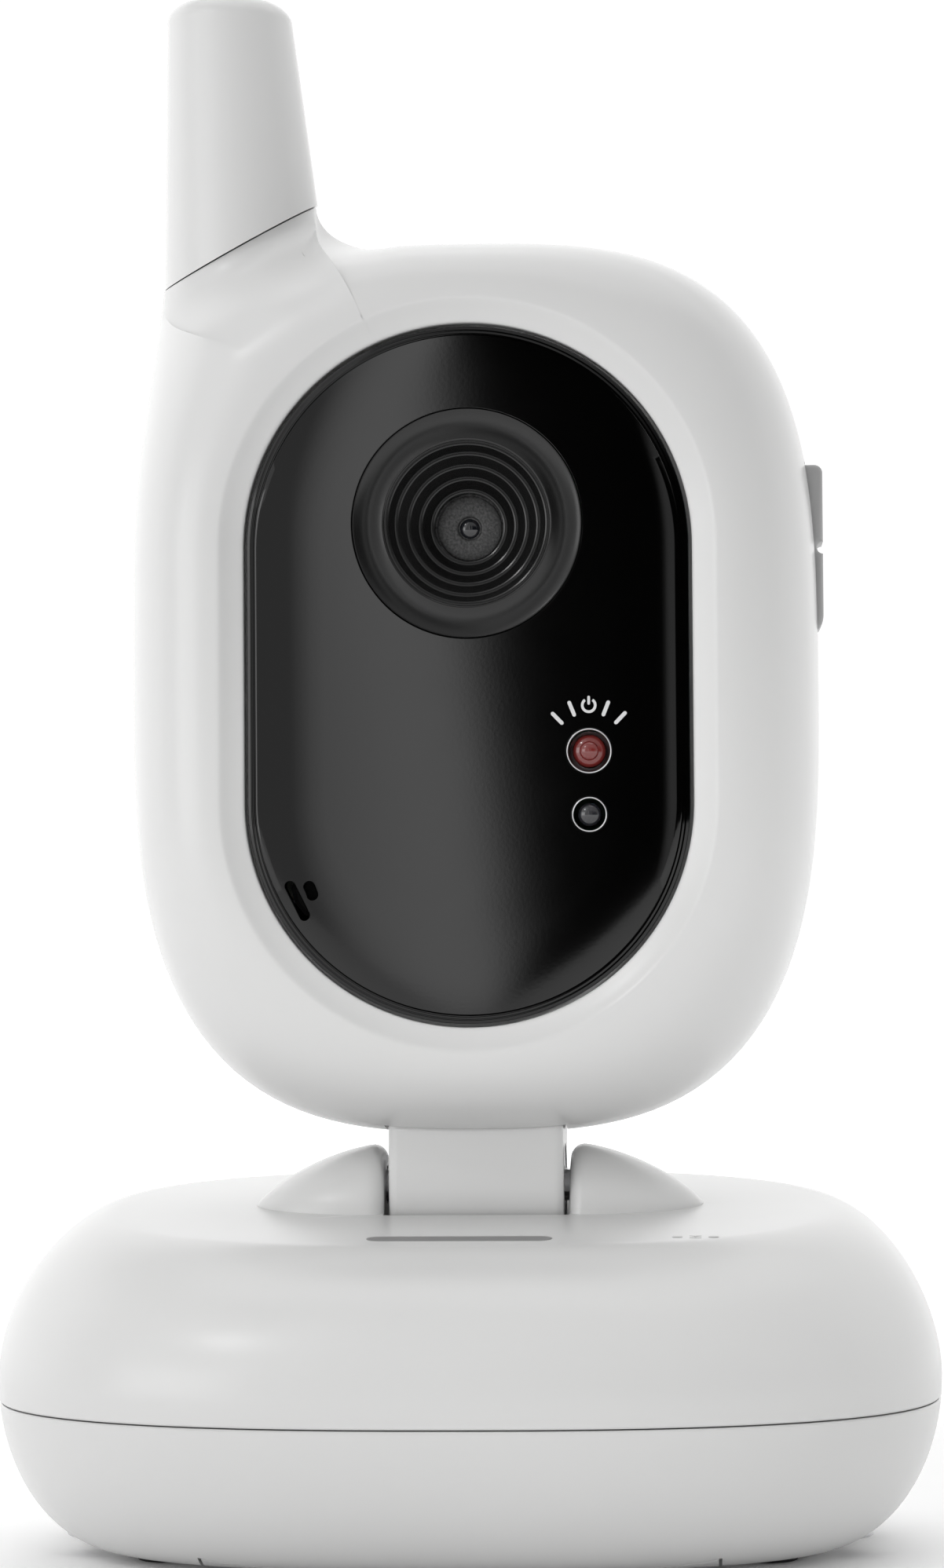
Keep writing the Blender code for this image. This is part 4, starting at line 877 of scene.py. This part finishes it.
def make_window():
    """The dark window: a stepped lip, a face that falls off at its sides and chamfered holes."""
    lip = ((0.0, 2.0), (0.0, 0.42), (0.06, 0.32), (0.30, 0.26), (0.35, 0.34), (0.40, 0.34),
           (0.45, 0.24), (0.62, 0.20), (0.67, 0.30), (0.72, 0.30), (0.77, 0.20))
    fall = ((0.86, 0.160), (1.4, 0.118), (2.2, 0.074), (3.2, 0.038), (4.4, 0.014), (5.8, 0.002),
            (7.0, 0.0))
    rings = []
    for inward, down in lip:
        outline = stadium_outline(WINDOW_HALF_WIDTH - inward)
        rings.append([(x, WINDOW_FRONT_Y + down, z) for x, z in outline])
    for inward, down in fall:
        half_width = WINDOW_HALF_WIDTH - inward
        rings.append([(x, WINDOW_FRONT_Y + down * (x / half_width) ** 2, z)
                      for x, z in stadium_outline(half_width)])
    window = make_object("window", loft_form(rings))
    forms = []
    for x, z, radius, chamfer in ((0.0, LENS_Z, BEZEL_RADIUS + 0.06, 0.05),
                                  (LED_X, LED_Z, LED_RADIUS + 0.45, 0.16),
                                  (LED_X, SENSOR_Z, SENSOR_RADIUS + 0.45, 0.16)):
        profile = [(0, 2), (radius + chamfer, 2), (radius + chamfer, 0), (radius, -chamfer),
                   (radius, -5), (0, -5)]
        forms.append(turned_form(profile, (x, WINDOW_FRONT_Y, z), "-Y", 128))
    for ends in MIC_SLOTS:
        outline = slot_outline(ends, MIC_SLOT_WIDTH)
        flared = slot_outline(ends, MIC_SLOT_WIDTH + 0.24)
        levels = ((flared, WINDOW_FRONT_Y - 1.0), (flared, WINDOW_FRONT_Y),
                  (outline, WINDOW_FRONT_Y + 0.12), (outline, WINDOW_BACK_Y + 1.0))
        forms.append(loft_form([[(x, y, z) for x, z in ring] for ring, y in levels]))
    combine(window, "DIFFERENCE", *forms)
    settle(window, "head", "black_window", "face_window")


def hood_profile():
    """Half section of the lens hood: a hollow gutter, then five double rims down a cone."""
    gutter = [(BEZEL_RADIUS, -0.1), (BEZEL_RADIUS - 0.06, -0.03), (BEZEL_RADIUS - 0.15, -0.04)]
    outer, lowest, inner = 10.2, 8.85, 7.65
    bottom = -0.29
    for radius in evenly(outer, inner, 14)[1:]:
        if radius > lowest:
            level = bottom + 0.24 * ((radius - lowest) / (outer - lowest)) ** 2
        else:
            level = bottom + 0.19 * ((lowest - radius) / (lowest - inner)) ** 2
        gutter.append((radius, level))
    gutter += [(7.58, -0.11), (7.50, -0.16), (7.46, -0.26)]
    steps = []
    for k, radius in enumerate((7.4, 6.55, 5.52, 4.49, 3.46)):
        level = -0.32 - 0.95 * k
        steps += [(radius, level), (radius - 0.10, level), (radius - 0.13, level - 0.07),
                  (radius - 0.17, level - 0.07), (radius - 0.20, level - 0.03),
                  (radius - 0.32, level - 0.08)]
    outside = [(3.11, -5.6), (4.11, -5.6), (8.6, -2.6), (BEZEL_RADIUS, -2.2)]
    return gutter + steps + outside


def make_lens():
    """Hood, barrel with its pupil and the small front element, all on the lens's axis."""
    origin = (0.0, WINDOW_FRONT_Y, LENS_Z)
    hood = make_object("lens_surround", turned_form(hood_profile(), origin, "-Y", 160, True))
    settle(hood, "head", "black_gloss", "lens_hood")
    smooth(hood, 11)
    barrel = [(0, -6.0), (0.6, -5.95), (1.0, -5.8), (1.1, -5.5), (1.18, -5.44), (1.3, -5.42),
              (2.7, -5.42), (2.9, -5.5), (2.95, -5.7), (4.0, -5.8), (4.0, -12.6), (0, -12.6)]
    piece = make_object("lens_core", turned_form(barrel, origin, "-Y"))
    settle(piece, "head", "black_matte", "lens_barrel")
    half_angle = math.radians(50)
    element = [(0.9 * math.sin(angle) / math.sin(half_angle),
                -5.5 - 0.3 * (1 - math.cos(angle)) / (1 - math.cos(half_angle)))
               for angle in evenly(0.0, half_angle, 8)]
    element.append((0, -5.85))
    piece = make_object("lens_glass", turned_form(element, origin, "-Y", 64))
    settle(piece, "head", "optical_glass", "lens_element")


def make_lights():
    """The power light and the light sensor: domed lenses, each in a polished collar."""
    lamp = [(radius, 0.35 + level) for radius, level in dome(0.87, 0.55)]
    lamp += [(1.0, -0.25), (1.25, -0.37), (1.42, -0.55), (LED_RADIUS, -0.8), (LED_RADIUS, -3.2),
             (1.9, -3.2), (1.9, -4.4), (0, -4.4)]
    piece = make_object("power_lamp", turned_form(lamp, (LED_X, WINDOW_FRONT_Y, LED_Z), "-Y", 64))
    settle(piece, "head", "red_lens", "power_light")
    sensor = [(radius, 0.1 + level) for radius, level in dome(SENSOR_RADIUS, 0.7)]
    sensor += [(SENSOR_RADIUS, -3.2), (0, -3.2)]
    piece = make_object("sensor_lens",
                        turned_form(sensor, (LED_X, WINDOW_FRONT_Y, SENSOR_Z), "-Y", 48))
    settle(piece, "head", "dark_lens", "light_sensor")
    wire = 0.07
    for name, z, radius in (("lamp_collar", LED_Z, LED_RADIUS + 0.46),
                            ("sensor_collar", SENSOR_Z, SENSOR_RADIUS + 0.46)):
        section = [(radius + wire * math.cos(angle), wire * math.sin(angle) - 0.02)
                   for angle in evenly(0.0, 2 * math.pi, 14)[:-1]]
        piece = make_object(name, turned_form(section, (LED_X, WINDOW_FRONT_Y, z), "-Y", 72, True))
        settle(piece, "head", "steel")


def rocker_outline(inset):
    """Side view of the rocker from the front, (x, z), with a round groove across its middle."""
    outer = ROCKER_HIGH.x - HEAD_X - inset
    inner = ROCKER_LOW.x - HEAD_X
    centre = (ROCKER_HIGH.z + ROCKER_LOW.z) / 2
    half = (ROCKER_HIGH.z - ROCKER_LOW.z) / 2 - inset
    corner = 0.75
    groove = 0.56 + inset
    points = [(inner, -half)]
    points += [(outer - corner + corner * math.cos(angle),
                -half + 2 * corner + 2 * corner * math.sin(angle))
               for angle in evenly(-math.pi / 2, 0.0, 8)]
    points += [(outer + groove * math.cos(angle), groove * math.sin(angle))
               for angle in evenly(-math.pi / 2, -math.pi * 3 / 2, 12)]
    points += [(outer - corner + corner * math.cos(angle), half - corner + corner * math.sin(angle))
               for angle in evenly(0.0, math.pi / 2, 8)]
    points.append((inner, half))
    return [(x, centre + z) for x, z in points]


def make_rocker():
    """The volume rocker with rounded edges."""
    rings = [[(x, y, z) for x, z in rocker_outline(inset)]
             for inset, y in rounded_ends(ROCKER_LOW.y, ROCKER_HIGH.y, 0.4, 4)]
    piece = make_object("volume_rocker", loft_form(rings))
    settle(piece, "rocker", "grey_button", "rocker_button")


def make_neck():
    """The neck: a round knuckle on the pin and a column with rounded upright edges."""
    low, high = corners("neck")
    rings = []
    for inset, x in rounded_ends(-NECK_HALF_WIDTH, NECK_HALF_WIDTH, NECK_EDGE, 6):
        radius = KNUCKLE_RADIUS - inset
        ring = [(x, HINGE_Y + radius * math.cos(angle), HINGE_Z + radius * math.sin(angle))
                for angle in evenly(0.0, -math.pi, 32)]
        ring += [(x, HINGE_Y - radius, high.z - 1.0), (x, HINGE_Y + radius, high.z - 1.0)]
        rings.append(ring)
    neck = make_object("neck_column", loft_form(rings))
    flange_half_depth = 5.8
    combine(neck, "UNION",
            box_form((low.x - HEAD_X, HINGE_Y - flange_half_depth, high.z - 2.0),
                     (high.x - HEAD_X, HINGE_Y + flange_half_depth, high.z)))
    bore = PIN_RADIUS + GAP
    bore_profile = [(0, -15.0), (bore, -15.0), (bore, 15.0), (0, 15.0)]
    combine(neck, "DIFFERENCE", turned_form(bore_profile, (0, HINGE_Y, HINGE_Z), "+X", 48))
    pocket_x = NECK_HALF_WIDTH - 1.4
    combine(neck, "DIFFERENCE",
            cylinder_form(WASHER_POCKET_RADIUS, 3.0, (pocket_x, HINGE_Y, HINGE_Z), "+X", 64),
            cylinder_form(WASHER_POCKET_RADIUS, 3.0, (-pocket_x, HINGE_Y, HINGE_Z), "-X", 64))
    settle(neck, "head", "white_shell", "neck")


# ---------------- marks

def face_print(outline):
    """A printed patch on the window's face, from its outline (x, z)."""
    return loft_form([[(x, WINDOW_FRONT_Y - depth, z) for x, z in outline]
                      for depth in (0.005, PRINT)])


def top_print(outline):
    """A printed patch on the base's top face, from its outline (x, y)."""
    return loft_form([[(x, y, base_top_level(y) + height) for x, y in outline]
                      for height in (0.005, PRINT)])


def make_marks(name, body, forms, ink, brightness):
    """One printed piece in its own ink: matt and a little uneven."""
    marks = make_object(name, *forms)
    settle(marks, body, "grey_button")
    marks.data.materials[0] = moulded(ink, (brightness,) * 3, 0.5, 0.12, 0.003, shade=0.06,
                                      spread=0.08, wear=0.0)


def make_indicator_marks():
    """A plain power pictogram over the power light, between radiating dashes."""
    distance = 4.08                 # from the light to the pictogram and the dashes
    centre = LED_Z + distance
    radius = 0.58
    half_stroke = 0.12
    forms = []
    for degrees in (134, 112, 68, 46):
        angle = math.radians(degrees)
        ends = [(LED_X + reach * math.cos(angle), LED_Z + reach * math.sin(angle))
                for reach in (distance - 0.75, distance + 0.75)]
        forms.append(face_print(slot_outline(ends, 0.34)))
    arc = evenly(math.radians(125), math.radians(415), 28)
    outline = [(LED_X + reach * math.cos(angle), centre + reach * math.sin(angle))
               for reach, angles in ((radius + half_stroke, arc), (radius - half_stroke, arc[::-1]))
               for angle in angles]
    forms.append(face_print(outline))
    forms.append(face_print(slot_outline(((LED_X, centre + 0.85), (LED_X, centre + 0.05)),
                                         2 * half_stroke)))
    make_marks("indicator_marks", "head", forms, "light_print", 0.62)


def make_base_marks():
    """On the base's top face, a plain rounded bar, and a small hourglass between two dashes."""
    bar = top_print(slot_outline(((-8.2, -18.1), (8.2, -18.1)), 2.3))
    signs = [top_print(slot_outline(((x - reach, -17.6), (x + reach, -17.6)), width))
             for x, reach, width in ((19.2, 0.45, 0.5), (22.4, 0.45, 0.5), (20.8, 0.01, 1.1))]
    make_marks("base_bar_mark", "base", [bar], "grey_print", 0.22)
    make_marks("base_dot_mark", "base", signs, "pale_print", 0.45)


# ---------------- studio

CAMERA_PLACE = (21.87, -399.3, 55.64)
CAMERA_YAW = math.radians(3.072)
CAMERA_PITCH = math.radians(2.068)
CAMERA_ROLL = math.radians(-0.392)
CAMERA_LENS = 99.15             # millimetres on a 36 mm long side


def make_camera():
    """A long lens just above the base, turned a little to the left."""
    data = bpy.data.cameras.new("camera")
    data.sensor_width = 36.0
    data.lens = CAMERA_LENS
    data.clip_start = 0.01
    data.clip_end = 50.0
    camera = bpy.data.objects.new("camera", data)
    bpy.context.scene.collection.objects.link(camera)
    camera.matrix_world = (Matrix.Translation(Vector(CAMERA_PLACE) * MM)
                           @ Matrix.Rotation(CAMERA_YAW, 4, "Z")
                           @ Matrix.Rotation(math.pi / 2 + CAMERA_PITCH, 4, "X")
                           @ Matrix.Rotation(CAMERA_ROLL, 4, "Z"))
    bpy.context.scene.camera = camera


class Sums:
    """Short ways to write arithmetic in a node tree."""

    def __init__(self, tree):
        self.tree = tree

    def math(self, operation, first, second):
        """One arithmetic step on sockets or numbers."""
        node = add_node(self.tree, "Math", {0: first, 1: second}, operation=operation)
        return node.outputs["Value"]

    def product(self, first, *others):
        """Sockets or numbers multiplied together."""
        for other in others:
            first = self.math("MULTIPLY", first, other)
        return first

    def rest(self, value):
        """What a value leaves of 1."""
        return self.math("SUBTRACT", 1.0, value)

    def step(self, value, low, high):
        """A smooth step from 0 to 1 as value goes from low to high."""
        inputs = {"Value": value, "From Min": low, "From Max": high}
        node = add_node(self.tree, "MapRange", inputs, interpolation_type="SMOOTHSTEP")
        return node.outputs["Result"]


def make_world():
    """A white studio: bright all round, with a dark gap in front and a bright panel beside it."""
    world = bpy.data.worlds.new("studio")
    bpy.context.scene.world = world
    world.use_nodes = True
    tree = world.node_tree
    sums = Sums(tree)
    direction = add_node(tree, "TexCoord", {}).outputs["Generated"]
    split = add_node(tree, "SeparateXYZ", {"Vector": direction})
    x, y, z = (split.outputs[axis] for axis in "XYZ")
    forward = sums.product(y, -1.0)
    ahead = sums.math("MAXIMUM", forward, 0.02)
    across = sums.math("DIVIDE", x, ahead)
    height = sums.math("DIVIDE", z, ahead)

    # the gap and the panel stand in front of the object and end softly above and below
    stand = sums.product(sums.rest(sums.step(height, 0.25, 0.7)),
                         sums.step(height, -0.45, -0.15), sums.step(forward, 0.1, 0.2))

    # the gap's left edge leans a little, and a lighter strip runs down inside the gap
    leaning = sums.math("ADD", sums.product(height, 0.124), 0.043)
    from_edge = sums.math("ADD", across, leaning)
    past_edge = sums.step(from_edge, -0.009, 0.009)
    strip = sums.product(sums.step(across, 0.07, 0.11), sums.rest(sums.step(across, 0.2, 0.26)))
    gap = sums.product(past_edge, sums.rest(sums.step(across, 0.8, 2.2)), sums.rest(strip), stand)
    panel = sums.product(sums.step(from_edge, -0.09, -0.01), sums.rest(past_edge), stand)

    # the studio is brighter behind the object and darker on its right
    backdrop = sums.product(sums.step(y, -0.2, 0.3), sums.rest(sums.step(z, 0.6, 0.8)))
    level = sums.math("ADD", 0.57, sums.product(backdrop, 0.80))
    level = sums.product(level, sums.rest(sums.product(sums.step(x, 0.0, 0.9), 0.22)))
    level = sums.math("ADD", level, sums.product(panel, 1.35))
    level = sums.product(level, sums.rest(sums.product(gap, 0.99)))

    # what is seen past the object is plain white
    seen = add_node(tree, "LightPath", {}).outputs["Is Camera Ray"]
    strength = add_node(tree, "Mix", {"Factor": seen, "A": level, "B": 1.05})
    set_inputs(tree.nodes["Background"], {"Color": (1.0, 1.0, 1.0, 1.0),
                                          "Strength": strength.outputs["Result"]})


def make_lamp(name, data, place, target, power):
    """Put up a lamp that is aimed at a target; returns it."""
    data.energy = power
    lamp = bpy.data.objects.new(name, data)
    bpy.context.scene.collection.objects.link(lamp)
    lamp.location = place
    aim = Vector(target) - Vector(place)
    lamp.rotation_euler = aim.to_track_quat("-Z", "Y").to_euler()
    return lamp


def make_softbox(name, place, size, power):
    """A soft area light aimed at the middle of the object."""
    data = bpy.data.lights.new(name, "AREA")
    data.shape = "RECTANGLE"
    data.size, data.size_y = size
    lamp = make_lamp(name, data, place, (0.0, 0.0, 0.07), power)
    lamp.visible_camera = False


def make_spot(name, place, target, power):
    """A narrow soft-edged light, for what the head would leave in shade."""
    data = bpy.data.lights.new(name, "SPOT")
    data.spot_size = math.radians(6)
    data.spot_blend = 1.0
    data.shadow_soft_size = 0.05
    lamp = make_lamp(name, data, place, target, power)
    lamp.visible_glossy = False


def make_floor():
    """A plain pale floor, far larger than the object, that glows more away from it."""
    half = 3000.0
    floor = make_object("floor", ([(-half, -half, 0), (half, -half, 0), (half, half, 0),
                                   (-half, half, 0)], [(0, 1, 2, 3)]))
    if floor.data.polygons[0].normal.z < 0:
        floor.data.flip_normals()
    material = moulded("pale_floor", (0.95,) * 3, 0.7, 3.0, 0.01, shade=0.004, spread=0.02,
                       wear=0.0, specular=0.2)
    tree = material.node_tree
    place = add_node(tree, "TexCoord", {}).outputs["Object"]
    away = add_node(tree, "VectorMath", {0: place}, operation="LENGTH").outputs["Value"]
    set_inputs(tree.nodes["Principled BSDF"], {
        "Emission Color": (1.0, 1.0, 1.0, 1.0),
        "Emission Strength": link_range(tree, away, 0.03, 0.35, 0.1, 0.5),
    })
    floor.data.materials.append(material)


def make_studio():
    """Floor, world, lights and camera."""
    scene = bpy.context.scene
    scene.view_settings.view_transform = "Standard"
    make_floor()
    make_world()
    make_softbox("key", (-0.9, -0.9, 0.9), (1.2, 1.2), 2.0)
    make_softbox("fill", (-0.95, -0.8, 0.15), (0.7, 0.5), 2.4)
    make_softbox("glint", (-0.62, -0.72, 0.75), (0.12, 0.12), 0.8)
    make_softbox("top", (0.1, 0.2, 1.1), (1.2, 1.2), 4.2)
    make_spot("hinge_light", (0.25, -0.55, 0.19), (0.0, 0.0, 0.034), 12.0)
    make_camera()


# ---------------- the whole

def finish_carried_nodes():
    """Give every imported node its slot's finish, and the microphone a dark felt cover's."""
    slots = {part["node"]: part["material_slot"] for part in frame["record"]["subparts"]}
    for name, node in frame["nodes"].items():
        node.data.materials.clear()
        node.data.materials.append(FELT if name == "microphone" else FINISHES[slots[name]])


FINISHES = make_finishes()
FELT = moulded("microphone_felt", (0.012, 0.012, 0.012), 0.9, 0.12, 0.03, specular=0.1)
finish_carried_nodes()
make_upper_shell()
make_lower_shell()
make_door()
make_feet()
make_jack()
make_front_shell()
make_rear_shell()
make_antenna()
make_window()
make_lens()
make_lights()
make_rocker()
make_neck()
make_screws()
make_indicator_marks()
make_base_marks()
make_studio()
